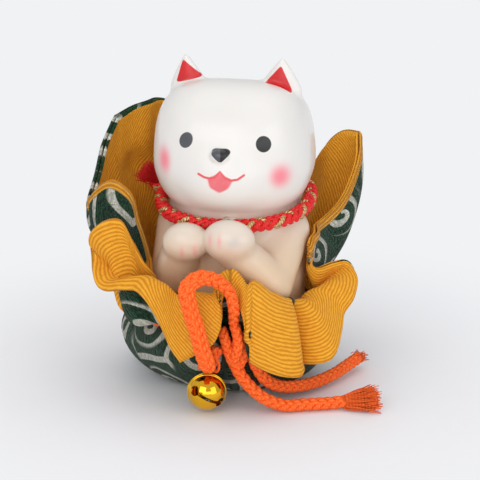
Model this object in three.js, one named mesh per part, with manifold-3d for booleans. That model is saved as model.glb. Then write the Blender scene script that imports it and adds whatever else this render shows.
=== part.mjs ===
// A small glazed ceramic dog, seated and wrapped to the chest in a square double-layer cloth. The cloth is
// gathered low around the haunches and tied with an orange braided cord that carries a jingle bell.
// Millimetres, +Z up, -Y is the front, and the origin is the middle of the flat base.
import * as THREE from "three";
import { mergeVertices } from "three/addons/utils/BufferGeometryUtils.js";
import Module from "manifold-3d";

const wasm = await Module();
wasm.setup();

// Wrapping cloth
const CLOTH_SIDE = 140;
const OUTER_THICKNESS = 0.7;
const LINING_THICKNESS = 0.7;
const LAYER_GAP = 0.3;
const BASE_RADIUS = 18;
const BELLY_RADIUS = 30.2;
const BELLY_HEIGHT = 13;
const BELLY_LEAN = -2.3;
const GATHER_RADIUS = 24;
const GATHER_HEIGHT = 22;

// Ceramic dog
const DOG_TURN = THREE.MathUtils.degToRad(-11);
const CLOTH_TO_DOG = 0.3;
const HEAD_WIDTH = 46;
const HEAD_DEPTH = 43;
const HEAD_HEIGHT = 41;
const HEAD_CENTRE_HEIGHT = 67;
const CROWN_NARROWING = 0.06;
const MUZZLE_WIDTH = 19;
const NOSE_WIDTH = 5.2;
const NOSE_HEIGHT = 3.8;
const NOSE_DEPTH = 3.2;
const NOSE_CENTRE_HEIGHT = 70.2;
const NECK_WIDTH = 37.5;
const BODY_WIDTH = 42;
const BODY_DEPTH = 37;
const CHEST_HEIGHT = 34;
const FORELEG_WIDTH = 12.5;
const PAW_WIDTH = 14;
const EAR_WIDTH = 11;
const EAR_HEIGHT = 9;
const EAR_SPREAD = 27;
const EAR_DEPTH = 6;
const EAR_BACK = 2;
const EAR_SUNK = 5;

// Collar
const COLLAR_DIAMETER = 3.6;
const COLLAR_TO_NECK = 0.3;
const COLLAR_FRONT_HEIGHT = 51.6;
const COLLAR_BACK_HEIGHT = 55;
const COLLAR_KNOT_WIDTH = 7;
const TUFT_LENGTH = 4.4;
const TUFT_WIDTH = 6.5;

// Orange cord
const CORD_DIAMETER = 4;
const CORD_TO_CLOTH = 0.3;
const KNOT_WIDTH = 8.4;
const KNOT_DEPTH = 4.8;
const KNOT_HEIGHT = 8.4;
const FRAY_LENGTH = 9;
const FRAY_WIDTH = 7.5;
const FRAY_THICKNESS = 3.2;
const CUT_END_LENGTH = 3.5;

// Jingle bell
const BELL_DIAMETER = 10.5;
const BELL_WALL = 0.5;
const BELL_SEAM_WIDTH = 0.5;
const BELL_FLOOR_GAP = 1.2;
const BELL_ASIDE = 0.7;
const EYE_TO_CLOTH = 1.1;
const SLOT_WIDTH = 0.9;
const SLOT_HOLE_DIAMETER = 2.6;
const SLOT_HALF_ANGLE = THREE.MathUtils.degToRad(50);
const EYE_WIRE = 0.6;
const EYE_BORE = 1.6;
const PELLET_DIAMETER = 3;
const THREAD_DIAMETER = 0.9;
const THREAD_KNOT_DIAMETER = 1.9;
const RUNNING_GAP = 0.3;

const ceramic = new THREE.MeshStandardMaterial({ color: 0xf1efe9, roughness: 0.12, metalness: 0 });
const greenCrepe = new THREE.MeshStandardMaterial({ color: 0x17402a, roughness: 0.95, metalness: 0 });
const ochreCrepe = new THREE.MeshStandardMaterial({ color: 0xd39522, roughness: 0.9, metalness: 0 });
const orangeCord = new THREE.MeshStandardMaterial({ color: 0xf2551c, roughness: 0.85, metalness: 0 });
const redCord = new THREE.MeshStandardMaterial({ color: 0xd3202c, roughness: 0.7, metalness: 0 });
const gold = new THREE.MeshStandardMaterial({ color: 0xe0b02e, roughness: 0.15, metalness: 1 });
const steel = new THREE.MeshStandardMaterial({ color: 0x8d8d8d, roughness: 0.4, metalness: 1 });

const figurine = new THREE.Group();
const dog = new THREE.Group();
dog.rotation.z = DOG_TURN;
figurine.add(dog);

function addMesh(group, name, geometry, material) {
  const mesh = new THREE.Mesh(geometry, material);
  mesh.name = name;
  group.add(mesh);
  return mesh;
}

// manifold-3d only joins and cuts closed meshes here.
function solidOf(geometry) {
  const bare = geometry.clone();
  for (const name of Object.keys(bare.attributes)) {
    if (name !== "position") bare.deleteAttribute(name);
  }
  const merged = mergeVertices(bare, 1e-4);
  return new wasm.Manifold(
    new wasm.Mesh({
      numProp: 3,
      vertProperties: new Float32Array(merged.attributes.position.array),
      triVerts: new Uint32Array(merged.index.array),
    }),
  );
}

function geometryOf(solid) {
  const mesh = solid.getMesh();
  const geometry = new THREE.BufferGeometry();
  geometry.setAttribute("position", new THREE.BufferAttribute(new Float32Array(mesh.vertProperties), 3));
  geometry.setIndex(new THREE.BufferAttribute(new Uint32Array(mesh.triVerts), 1));
  geometry.computeVertexNormals();
  return geometry;
}

function meshGeometry(points, faces) {
  const geometry = new THREE.BufferGeometry();
  geometry.setAttribute("position", new THREE.Float32BufferAttribute(points.flatMap((p) => p.toArray()), 3));
  geometry.setIndex(faces.flat());
  geometry.computeVertexNormals();
  return geometry;
}

// The dog's surface: rounded forms blended into each other, as in a slip-cast mould.
const CLOTH_THICKNESS = OUTER_THICKNESS + LAYER_GAP + LINING_THICKNESS;
const DOG_FLOOR = CLOTH_THICKNESS + CLOTH_TO_DOG;
const HEAD_BOTTOM_POWER = 2.35;
const HEAD_TOP_POWER = 3.3;
const HEAD_FRONT_POWER = 2.4;

function head(x, y, z) {
  const up = z - HEAD_CENTRE_HEIGHT;
  const share = THREE.MathUtils.smoothstep(up, -8, 8);
  const power = THREE.MathUtils.lerp(HEAD_BOTTOM_POWER, HEAD_TOP_POWER, share);
  const crown = 1 - CROWN_NARROWING * THREE.MathUtils.smoothstep(up, -6, HEAD_HEIGHT / 2);
  const across = Math.abs(x / ((crown * HEAD_WIDTH) / 2));
  const high = Math.abs(up / (HEAD_HEIGHT / 2));
  const deep = Math.abs(y / (HEAD_DEPTH / 2));
  const face = (across ** power + high ** power) ** (1 / power);
  const size = (face ** HEAD_FRONT_POWER + deep ** HEAD_FRONT_POWER) ** (1 / HEAD_FRONT_POWER);
  return (size - 1) * (HEAD_HEIGHT / 2);
}

function ellipsoid(x, y, z, centre, radii) {
  const p = [(x - centre[0]) / radii[0], (y - centre[1]) / radii[1], (z - centre[2]) / radii[2]];
  const size = Math.hypot(...p);
  const slope = Math.hypot(p[0] / radii[0], p[1] / radii[1], p[2] / radii[2]);
  return slope > 0 ? (size * (size - 1)) / slope : -Math.min(...radii);
}

function limb(x, y, z, from, to, radiusFrom, radiusTo) {
  const along = [to[0] - from[0], to[1] - from[1], to[2] - from[2]];
  const out = [x - from[0], y - from[1], z - from[2]];
  const length2 = along[0] ** 2 + along[1] ** 2 + along[2] ** 2;
  const reach = out[0] * along[0] + out[1] * along[1] + out[2] * along[2];
  const share = THREE.MathUtils.clamp(reach / length2, 0, 1);
  const away = Math.hypot(out[0] - along[0] * share, out[1] - along[1] * share, out[2] - along[2] * share);
  return away - THREE.MathUtils.lerp(radiusFrom, radiusTo, share);
}

function blend(a, b, radius) {
  const share = Math.max(radius - Math.abs(a - b), 0) / radius;
  return Math.min(a, b) - (share * share * radius) / 4;
}

const FACE = -HEAD_DEPTH / 2;
const CHEST = -BODY_DEPTH / 2;
const HAUNCH_RADIUS = BELLY_RADIUS - CLOTH_THICKNESS / 2 - CLOTH_TO_DOG - 1;

function trunkSurface(x, y, z) {
  const muzzle = ellipsoid(x, y, z, [0, FACE + 4.5, 62.5], [MUZZLE_WIDTH / 2, 6, 7]);
  const noseRadii = [NOSE_WIDTH / 2, NOSE_DEPTH / 2, NOSE_HEIGHT / 2];
  const nose = ellipsoid(x, y, z, [0, FACE - 0.6, NOSE_CENTRE_HEIGHT], noseRadii);
  const neck = ellipsoid(x, y, z, [0, 0.5, 51], [NECK_WIDTH / 2, NECK_WIDTH / 2 - 0.5, 14]);
  const body = ellipsoid(x, y, z, [0, 0.5, CHEST_HEIGHT], [BODY_WIDTH / 2, BODY_DEPTH / 2, 27]);
  const haunchRadii = [HAUNCH_RADIUS, HAUNCH_RADIUS, BELLY_HEIGHT + 0.3];
  const haunch = ellipsoid(x, y, z, [BELLY_LEAN, 0, BELLY_HEIGHT], haunchRadii);
  const face = blend(blend(head(x, y, z), muzzle, 5), nose, 0.8);
  return blend(blend(blend(body, haunch, 6), neck, 5), face, 1.5);
}

function dogSurface(x, y, z) {
  const leg = FORELEG_WIDTH / 2;
  const rightUpper = limb(x, y, z, [16, -3, 44], [13.5, CHEST + 2, 32], leg, leg);
  const rightLower = limb(x, y, z, [12.5, CHEST + 1, 33.5], [2, CHEST - 4, 45.5], leg, leg - 0.8);
  const leftUpper = limb(x, y, z, [-16, -3, 44], [-15.5, CHEST + 5, 32], leg, leg);
  const leftLower = limb(x, y, z, [-14.5, CHEST + 4, 33], [-11, CHEST - 1.5, 43.5], leg, leg - 0.8);
  const rightPaw = ellipsoid(x, y, z, [3.2, CHEST - 6.2, 47.2], [PAW_WIDTH / 2 + 0.3, 5.2, 5.4]);
  const leftPaw = ellipsoid(x, y, z, [-9.2, CHEST - 4.4, 45.4], [PAW_WIDTH / 2 - 0.4, 5, 5.2]);
  let skin = blend(trunkSurface(x, y, z), rightUpper, 3);
  skin = blend(skin, leftUpper, 3);
  skin = blend(skin, blend(rightLower, rightPaw, 2.5), 1.2);
  skin = blend(skin, blend(leftLower, leftPaw, 2.5), 1.2);
  return Math.max(skin, DOG_FLOOR - z);
}

// The skin is found by looking inwards along rays from all round one point in the neck.
const HEART = new THREE.Vector3(0, -1, 47);
const OUTSIDE_THE_DOG = 75;

function skinAlong(direction, from, reach, surface = dogSurface) {
  const point = new THREE.Vector3();
  let near = 0;
  for (let r = reach; r > 0; r -= 0.8) {
    point.copy(from).addScaledVector(direction, r);
    if (surface(point.x, point.y, point.z) < 0) {
      near = r;
      break;
    }
  }
  let far = near + 0.8;
  for (let i = 0; i < 14; i++) {
    const middle = (near + far) / 2;
    point.copy(from).addScaledVector(direction, middle);
    if (surface(point.x, point.y, point.z) < 0) near = middle;
    else far = middle;
  }
  return (near + far) / 2;
}

function castingGeometry(detail) {
  const sphere = new THREE.IcosahedronGeometry(1, detail);
  sphere.deleteAttribute("normal");
  sphere.deleteAttribute("uv");
  const geometry = mergeVertices(sphere, 1e-5);
  const position = geometry.attributes.position;
  const direction = new THREE.Vector3();
  for (let i = 0; i < position.count; i++) {
    direction.fromBufferAttribute(position, i).normalize();
    const reach = skinAlong(direction, HEART, OUTSIDE_THE_DOG);
    position.setXYZ(
      i,
      HEART.x + direction.x * reach,
      HEART.y + direction.y * reach,
      Math.max(HEART.z + direction.z * reach, DOG_FLOOR),
    );
  }
  return geometry;
}

// An ear is a three-sided rounded cone with its hollowed face to the front, sunk into the head.
function earGeometry(side) {
  const SIDES = 12;
  const RINGS = 6;
  const outline = [];
  for (let ring = 0; ring < RINGS; ring++) {
    const t = ring / (RINGS - 1);
    const above = Math.max(0, t * (EAR_HEIGHT + EAR_SUNK) - EAR_SUNK) / EAR_HEIGHT;
    const width = THREE.MathUtils.lerp(EAR_WIDTH / 2, 0.9, above ** 1.15);
    const depth = THREE.MathUtils.lerp(EAR_DEPTH / 2, 0.9, above ** 1.3);
    const loop = [];
    for (let k = 0; k < SIDES; k++) {
      const angle = (2 * Math.PI * k) / SIDES;
      const front = Math.sin(angle) < -0.2;
      loop.push(
        new THREE.Vector3(
          side * (EAR_SPREAD / 2 + 0.8 * above) + width * Math.cos(angle),
          EAR_BACK + (front ? -0.5 : 1) * depth * Math.abs(Math.sin(angle)) - 0.8 * above,
          (EAR_HEIGHT + EAR_SUNK) * t - EAR_SUNK,
        ),
      );
    }
    outline.push(loop);
  }
  const points = outline.flat();
  const faces = [];
  for (let ring = 0; ring < RINGS - 1; ring++) {
    for (let k = 0; k < SIDES; k++) {
      const a = ring * SIDES + k;
      const b = ring * SIDES + ((k + 1) % SIDES);
      faces.push([a, b, b + SIDES], [a, b + SIDES, a + SIDES]);
    }
  }
  const bottom = points.push(new THREE.Vector3(side * EAR_SPREAD / 2, EAR_BACK, -EAR_SUNK)) - 1;
  const topLoop = outline[RINGS - 1];
  const peak = topLoop.reduce((sum, p) => sum.add(p), new THREE.Vector3()).divideScalar(SIDES);
  const top = points.push(peak.add(new THREE.Vector3(0, 0, 0.5))) - 1;
  for (let k = 0; k < SIDES; k++) {
    const next = (k + 1) % SIDES;
    faces.push([bottom, next, k], [top, (RINGS - 1) * SIDES + k, (RINGS - 1) * SIDES + next]);
  }
  const headTop = new THREE.Vector3(side * EAR_SPREAD / 2, EAR_BACK, HEAD_CENTRE_HEIGHT);
  const seat = HEAD_CENTRE_HEIGHT + skinAlong(new THREE.Vector3(0, 0, 1), headTop, 40);
  const geometry = meshGeometry(points, faces);
  geometry.translate(0, 0, seat - 1);
  return geometry;
}

// A cord is a section swept along a route. The section's wide axis lies square to the way it faces.
function cord(route, steps, width, thickness, facing) {
  const curve = new THREE.CatmullRomCurve3(route.map((p) => new THREE.Vector3(...p)), false, "centripetal");
  const frames = curve.computeFrenetFrames(steps, false);
  const wide = new THREE.Vector3().crossVectors(frames.tangents[0], new THREE.Vector3(...facing));
  const turn = Math.atan2(wide.dot(frames.binormals[0]), wide.dot(frames.normals[0]));
  const sides = 8;
  const section = new THREE.Shape();
  for (let k = 0; k < sides; k++) {
    const angle = (2 * Math.PI * (k + 0.5)) / sides;
    const x = (width / 2) * Math.cos(angle);
    const y = (thickness / 2) * Math.sin(angle);
    const px = x * Math.cos(turn) - y * Math.sin(turn);
    const py = x * Math.sin(turn) + y * Math.cos(turn);
    if (k === 0) section.moveTo(px, py);
    else section.lineTo(px, py);
  }
  section.closePath();
  return new THREE.ExtrudeGeometry(section, { steps, bevelEnabled: false, extrudePath: curve });
}

// The collar lies on the neck in a plane that drops towards the front.
const COLLAR_TILT = Math.atan2(COLLAR_BACK_HEIGHT - COLLAR_FRONT_HEIGHT, NECK_WIDTH);
const COLLAR_CENTRE = new THREE.Vector3(0, 0, (COLLAR_FRONT_HEIGHT + COLLAR_BACK_HEIGHT) / 2);
const COLLAR_KNOT_ANGLE = THREE.MathUtils.degToRad(162);

function collarPoint(angle, lift) {
  const direction = new THREE.Vector3(
    Math.cos(angle),
    Math.sin(angle),
    Math.sin(angle) * Math.tan(COLLAR_TILT),
  ).normalize();
  return COLLAR_CENTRE.clone().addScaledVector(direction, collarReach(angle, direction) + lift);
}

// The cord bridges the dips between the forms, so each point takes the widest reach beside it.
function collarReach(angle, direction) {
  let widest = 0;
  for (const rise of [-COLLAR_DIAMETER / 2, 0, COLLAR_DIAMETER / 2]) {
    const from = COLLAR_CENTRE.clone().add(new THREE.Vector3(0, 0, rise));
    widest = Math.max(widest, skinAlong(direction, from, 40, trunkSurface));
  }
  return widest;
}

const COLLAR_LIFT = COLLAR_DIAMETER / 2 + COLLAR_TO_NECK;
const knotPoint = collarPoint(COLLAR_KNOT_ANGLE, COLLAR_KNOT_WIDTH / 2 + COLLAR_TO_NECK);
const collarRoute = [];
const collarHalfGap = Math.asin((COLLAR_KNOT_WIDTH / 2 + RUNNING_GAP) / (NECK_WIDTH / 2 + COLLAR_LIFT));
for (let k = 0; k <= 40; k++) {
  const angle = COLLAR_KNOT_ANGLE + collarHalfGap + ((2 * Math.PI - 2 * collarHalfGap) * k) / 40;
  collarRoute.push(collarPoint(angle, COLLAR_LIFT).toArray());
}
const COLLAR_STEPS = 48;
const collar = cord(collarRoute, COLLAR_STEPS, COLLAR_DIAMETER, COLLAR_DIAMETER, [0, 0, 1]);
addMesh(dog, "collar_cord", collar, redCord);

// The casting is pinched behind the paws, where the collar passes under the chin.
const CASTING_DETAIL = 14;
const channel = COLLAR_DIAMETER + 2 * COLLAR_TO_NECK;
let casting = solidOf(castingGeometry(CASTING_DETAIL));
for (const side of [-1, 1]) {
  casting = casting.add(solidOf(earGeometry(side)));
}
casting = casting.subtract(solidOf(cord(collarRoute, COLLAR_STEPS, channel, channel, [0, 0, 1])));
addMesh(dog, "dog_casting", geometryOf(casting), ceramic);

const collarKnot = new THREE.SphereGeometry(COLLAR_KNOT_WIDTH / 2, 12, 8);
addMesh(dog, "collar_knot", collarKnot, redCord).position.copy(knotPoint);

// The cut ends stand out of the knot as a short brush.
const brush = new THREE.LatheGeometry(
  [
    new THREE.Vector2(0, 0),
    new THREE.Vector2(COLLAR_DIAMETER / 2, 0),
    new THREE.Vector2(TUFT_WIDTH / 2, TUFT_LENGTH * 0.6),
    new THREE.Vector2(TUFT_WIDTH / 2 - 0.6, TUFT_LENGTH - 0.6),
    new THREE.Vector2(0, TUFT_LENGTH),
  ],
  10,
);
const tuft = addMesh(dog, "collar_tuft", brush, redCord);
const tuftDirection = new THREE.Vector3(-0.72, -0.25, 0.6).normalize();
tuft.quaternion.setFromUnitVectors(new THREE.Vector3(0, 1, 0), tuftDirection);
tuft.position.copy(knotPoint).addScaledVector(tuftDirection, COLLAR_KNOT_WIDTH / 2 + RUNNING_GAP);

// The cloth's rim, corner to corner along each side of the square, as it lies when its frill is DRAWN_FRILL
// long. Each row is a point of the edge and how the cloth reaches it: from further out or in, and from above
// where it has flopped over or from below where it stands.
const DRAWN_FRILL = 22;
const LEFT_RIM = [
  [-34.5, 10, 73.5, 4, -20, 155],
  [-37.5, 5, 66.5, 4, -20, 161],
  [-39.5, -1, 57.5, 4, -16, 168],
  [-42, -7, 51.5, 3, -12, 175],
  [-39.5, -9.5, 56.5, 3, -12, 181],
  [-35, -11.5, 60.5, 2, -14, 186],
  [-31, -13, 58, 2, -14, 190],
  [-28, -13.5, 51, 2, -12, 195],
  [-25, -13.8, 43, 2, -9, 199.5],
  [-23.4, -14.8, 36.5, 2, -5, 203.5],
  [-22.8, -17.2, 34.4, 1, -2, 208.7],
  [-24.6, -20, 37.5, 0, -5, 213.5],
  [-28.4, -21, 45.5, -1, -9, 216],
  [-32, -22, 52, -1, -10, 218.5],
  [-37.5, -22.5, 51, 0, -9, 221],
  [-41.5, -21, 45.5, -2, -6, 224],
  [-41.5, -23, 38.5, -3, 0, 227],
  [-37.5, -26, 33, -4, 6, 230],
  [-31.5, -29, 33.5, -4, 8, 233],
  [-26, -31.5, 33, -3, 10, 236.5],
  [-21, -34, 26.5, -2, 17, 240],
  [-17.5, -36, 19, -2, 22, 243],
  [-15, -37, 15.5, -2, 24, 246],
];
const FRONT_RIM = [
  [-15, -37, 15.5, -2, 24, 246],
  [-10, -38, 18.5, -2, 21, 249],
  [-5.8, -37.5, 21.5, -2, 18, 252],
  [-4, -36.6, 26.5, -2, 13, 256],
  [-3.5, -34.5, 31, -2, 6, 260],
  [-1.4, -32.2, 33, -1, -4, 267],
  [1, -32.2, 32.5, -1, -4, 272],
  [3.3, -34, 30, -2, 7, 278],
  [3.5, -38, 21, -3, 18, 281],
  [4.5, -39, 16, -3, 23, 286],
];
const RIGHT_RIM = [
  [4.5, -39, 16, -3, 23, 286],
  [11, -38.5, 12.5, -3, 25, 294],
  [18, -35.5, 10.8, -4, 24, 302],
  [24.5, -28.5, 12.5, -5, 20, 311],
  [30.5, -20.5, 19.5, -5, 14, 320],
  [34, -13, 26.5, -4, 8, 329],
  [35, -9, 30.5, -4, 3, 337],
  [32.5, -6, 34.5, -3, -4, 342],
  [28, -7, 34.5, -2, -7, 346],
  [23, -10, 34, 0, -8, 350],
  [20.5, -11, 37.5, 1, -8, 353],
  [18.5, -10.5, 43, 2, -9, 356],
  [21.5, -5, 44, 3, -12, 360],
  [27.5, 3, 45.5, 5, -14, 367],
  [32.5, 8, 52, 6, -16, 374],
  [36, 13, 62, 5, -18, 382],
  [36, 16, 67, 4, -20, 389],
];
const BACK_RIM = [
  [36, 16, 67, 4, -20, 389],
  [32, 19, 66.5, 4, -20, 395],
  [25, 24, 57, 4, -16, 405],
  [18, 31, 49, 3, -12, 416],
  [10, 27, 45, 3, -9, 429],
  [2, 32, 46, 4, -9, 443],
  [-6, 27, 51, 4, -11, 457],
  [-13, 25, 63, 4, -16, 470],
  [-18, 21, 74.5, 4, -20, 482],
  [-25, 16, 77, 4, -22, 497],
  [-34.5, 10, 73.5, 4, -20, 515],
];

// Each side: its rim, where its corners leave the gather, and how many columns it has.
const SIDES_OF_CLOTH = [
  { rim: LEFT_RIM, columns: 19 },
  { rim: FRONT_RIM, columns: 11 },
  { rim: RIGHT_RIM, columns: 15 },
  { rim: BACK_RIM, columns: 10 },
];
const FRILL_ROWS = 5;
const UPRIGHT_RADIUS = 36;
const CLOTH_MIDDLE = OUTER_THICKNESS + LAYER_GAP / 2;

// The gathered part of the cloth from its flat bottom up to the tie: radius and height of each ring.
const gatherProfile = [[BASE_RADIUS, CLOTH_MIDDLE]];
for (const angle of [30, 60, 90]) {
  const a = THREE.MathUtils.degToRad(angle);
  gatherProfile.push([
    BASE_RADIUS + (BELLY_RADIUS - BASE_RADIUS) * (0.75 * Math.sin(a) + 0.25 * (1 - Math.cos(a))),
    CLOTH_MIDDLE + (BELLY_HEIGHT - CLOTH_MIDDLE) * (1 - Math.cos(a)),
  ]);
}
for (const angle of [45, 90]) {
  const a = THREE.MathUtils.degToRad(angle);
  gatherProfile.push([
    GATHER_RADIUS + (BELLY_RADIUS - GATHER_RADIUS) * Math.cos(a),
    BELLY_HEIGHT + (GATHER_HEIGHT - BELLY_HEIGHT) * Math.sin(a),
  ]);
}
let gatheredLength = BASE_RADIUS;
for (let k = 1; k < gatherProfile.length; k++) {
  const [before, ring] = [gatherProfile[k - 1], gatherProfile[k]];
  gatheredLength += Math.hypot(ring[0] - before[0], ring[1] - before[1]);
}
const frillScale = (CLOTH_SIDE / 2 - gatheredLength) / DRAWN_FRILL;

// Moves a point of the cloth straight out from the dog's axis until it is clear of the dog.
const CLOTH_CLEARANCE = CLOTH_THICKNESS / 2 + CLOTH_TO_DOG + 0.9;
const tuftEnd = knotPoint.clone().addScaledVector(tuftDirection, COLLAR_KNOT_WIDTH / 2 + TUFT_LENGTH);

function dressedDog(x, y, z) {
  const knot = Math.hypot(x - knotPoint.x, y - knotPoint.y, z - knotPoint.z) - COLLAR_KNOT_WIDTH / 2;
  const ends = limb(x, y, z, knotPoint.toArray(), tuftEnd.toArray(), TUFT_WIDTH / 2 + 2, TUFT_WIDTH / 2 + 2);
  return Math.min(dogSurface(x, y, z), knot, ends);
}

function clearOfDog(point) {
  const turned = point.clone().applyAxisAngle(new THREE.Vector3(0, 0, 1), -DOG_TURN);
  const out = new THREE.Vector3(turned.x, turned.y, 0).normalize();
  for (let k = 0; k < 80 && dressedDog(turned.x, turned.y, turned.z) < CLOTH_CLEARANCE; k++) {
    turned.addScaledVector(out, 0.25);
  }
  return turned.applyAxisAngle(new THREE.Vector3(0, 0, 1), DOG_TURN);
}

// The belly leans over to one side, most where it is widest.
function bellyLean(height) {
  const low = THREE.MathUtils.smoothstep(height, 0, BELLY_HEIGHT);
  const high = THREE.MathUtils.smoothstep(height, BELLY_HEIGHT, GATHER_HEIGHT);
  return BELLY_LEAN * low * (1 - 0.5 * high);
}

function clothColumns() {
  const columns = [];
  for (const side of SIDES_OF_CLOTH) {
    const places = side.rim.map((p) => new THREE.Vector3(p[0], p[1], p[2]));
    const handles = side.rim.map((p) => new THREE.Vector3(p[3], p[4], p[5]));
    const rim = new THREE.CatmullRomCurve3(places, false, "centripetal");
    rim.arcLengthDivisions = 400;
    const reach = new THREE.CatmullRomCurve3(handles, false, "centripetal");
    for (let k = 0; k < side.columns; k++) {
      const share = k / side.columns;
      const along = rim.getUtoTmapping(share);
      const handle = reach.getPoint(along);
      const azimuth = THREE.MathUtils.degToRad(handle.z);
      const outward = new THREE.Vector3(Math.cos(azimuth), Math.sin(azimuth), 0);
      const column = gatherProfile.map(([radius, height]) => {
        const point = outward.clone().multiplyScalar(radius);
        point.add(new THREE.Vector3(bellyLean(height), 0, height));
        return height > CLOTH_MIDDLE ? clearOfDog(point) : point;
      });
      const tie = column[column.length - 1];
      const edge = rim.getPoint(along).sub(tie).multiplyScalar(frillScale).add(tie);
      handle.multiplyScalar(frillScale);
      const edgeOut = new THREE.Vector3(edge.x, edge.y, 0).normalize();
      const rise = Math.max(0.33 * edge.distanceTo(tie), 0.65 * handle.y, 6);
      const spread = 0.2 * rise + 0.45 * Math.max(0, Math.hypot(edge.x, edge.y) - UPRIGHT_RADIUS);
      const frill = new THREE.CubicBezierCurve3(
        tie,
        tie.clone().add(new THREE.Vector3(0, 0, 0.97 * rise)).addScaledVector(outward, spread),
        edge.clone().add(new THREE.Vector3(0, 0, handle.y)).addScaledVector(edgeOut, handle.x),
        edge,
      );
      for (let row = 1; row <= FRILL_ROWS; row++) {
        column.push(clearOfDog(frill.getPoint(row / FRILL_ROWS)));
      }
      column.frill = frill;
      columns.push(column);
    }
  }
  return columns;
}

// One layer of the cloth: the middle surface moved out by two amounts, closed along the edge of the square.
function clothLayer(columns, outerSide, innerSide) {
  const count = columns.length;
  const rows = columns[0].length;
  const middle = columns.flat();
  middle.push(new THREE.Vector3(0, 0, CLOTH_MIDDLE));
  const centre = middle.length - 1;
  const faces = [];
  for (let c = 0; c < count; c++) {
    const next = (c + 1) % count;
    faces.push([centre, next * rows, c * rows]);
    for (let r = 0; r < rows - 1; r++) {
      const a = c * rows + r;
      const b = next * rows + r;
      faces.push([a, b, b + 1], [a, b + 1, a + 1]);
    }
  }
  const sheet = meshGeometry(middle, faces);
  const normal = new THREE.Vector3();
  const offset = (amount) =>
    middle.map((p, i) => {
      normal.fromBufferAttribute(sheet.attributes.normal, i);
      const onFloor = i === centre || i % rows === 0;
      if (onFloor) normal.set(0, 0, -1);
      return p.clone().addScaledVector(normal, amount);
    });
  const points = [...offset(outerSide), ...offset(innerSide)];
  const shift = middle.length;
  const closed = [...faces, ...faces.map(([a, b, c]) => [a + shift, c + shift, b + shift])];
  for (let c = 0; c < count; c++) {
    const a = c * rows + rows - 1;
    const b = ((c + 1) % count) * rows + rows - 1;
    closed.push([a, b, b + shift], [a, b + shift, a + shift]);
  }
  return meshGeometry(points, closed);
}

const columns = clothColumns();
const innerFace = LAYER_GAP / 2;
addMesh(figurine, "wrap_outer", clothLayer(columns, innerFace + OUTER_THICKNESS, innerFace), greenCrepe);
addMesh(figurine, "wrap_lining", clothLayer(columns, -innerFace, -innerFace - LINING_THICKNESS), ochreCrepe);

// The orange cord goes once round the gather, just above the cloth's shoulder.
const CORD_LIFT = CLOTH_THICKNESS / 2 + CORD_TO_CLOTH + CORD_DIAMETER / 2;
const TIE_CORD_HEIGHT = GATHER_HEIGHT + CORD_LIFT;
const KNOT_CENTRE = [0.5, -32.3, GATHER_HEIGHT - 0.5];
const tieRing = gatherProfile.length - 1;

function tieCordPoint(column) {
  const [low, high] = [column[tieRing], column[tieRing + 1]];
  const top = Math.min((TIE_CORD_HEIGHT + CORD_DIAMETER / 2 - low.z) / (high.z - low.z), 1);
  const cloth = low.clone().lerp(high, top);
  const away = Math.max(Math.hypot(low.x, low.y), Math.hypot(cloth.x, cloth.y)) + CORD_LIFT + CORD_TO_CLOTH;
  return new THREE.Vector3(low.x, low.y, 0).setLength(away).setZ(TIE_CORD_HEIGHT);
}

// It leaves the knot on one side and comes back to the other.
const tieRoute = columns
  .map(tieCordPoint)
  .map((p) => ({ p, angle: (Math.atan2(p.x - KNOT_CENTRE[0], -p.y) + 2 * Math.PI) % (2 * Math.PI) }))
  .sort((a, b) => a.angle - b.angle)
  .map(({ p }) => p)
  .filter((p) => p.y > 0 || Math.abs(p.x - KNOT_CENTRE[0]) > KNOT_WIDTH / 2 + CORD_DIAMETER / 2)
  .map((p) => p.toArray());
addMesh(figurine, "tie_cord", cord(tieRoute, 56, CORD_DIAMETER, CORD_DIAMETER, [0, 0, 1]), orangeCord);

const bowKnot = new THREE.SphereGeometry(0.5, 14, 10).rotateX(Math.PI / 2);
bowKnot.scale(KNOT_WIDTH, KNOT_DEPTH, KNOT_HEIGHT);
addMesh(figurine, "bow_knot", bowKnot, orangeCord).position.set(...KNOT_CENTRE);

// The loop rises between the two front folds, falls over the left one, and turns back to the knot under it.
const BOW_FOOT = [-7.1, -38.6, 15];
const loopRoute = [
  [-0.2, -33.6, 26.2],
  [-0.3, -35.8, 31],
  [-1.5, -36, 35.8],
  [-5.1, -36.5, 39.2],
  [-9.5, -37.5, 40.2],
  [-12.9, -39.5, 38],
  [-12.2, -41.2, 33],
  [-10.2, -42, 26.3],
  [-8.6, -42.2, 20],
  [-7.7, -41.9, 17.2],
  [-7.3, -40.6, 15.5],
  BOW_FOOT,
  [-6.7, -36.6, 15.3],
  [-5.9, -35.2, 16.8],
  [-4.9, -34.3, 18.6],
];
addMesh(figurine, "bow_loop", cord(loopRoute, 30, CORD_DIAMETER, CORD_DIAMETER, [0, 1, 0]), orangeCord);

const frontTailRoute = [
  [-0.8, -34, 16.2],
  [0.4, -34.3, 13],
  [3, -35.2, 9],
  [7.6, -36.6, 5],
  [13.5, -36.3, 2.4],
  [18.2, -35.2, 2.1],
  [26.6, -34, 2.1],
  [31, -33.4, 2.4],
];
const frontTail = cord(frontTailRoute, 16, CORD_DIAMETER, CORD_DIAMETER, [0, 0, 1]);
addMesh(figurine, "tail_front", frontTail, orangeCord);

const backTailRoute = [
  [4.3, -32.8, 17.6],
  [6, -33.4, 13],
  [8.6, -32.4, 8.5],
  [12.6, -29.6, 5.4],
  [17, -26.4, 4],
  [22.3, -21.8, 3.3],
  [28, -15.8, 3.3],
  [33, -8.4, 3.6],
  [35.8, -4, 3.8],
];
const backTail = cord(backTailRoute, 18, CORD_DIAMETER, CORD_DIAMETER, [0, 0, 1]);
addMesh(figurine, "tail_back", backTail, orangeCord);

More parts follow.
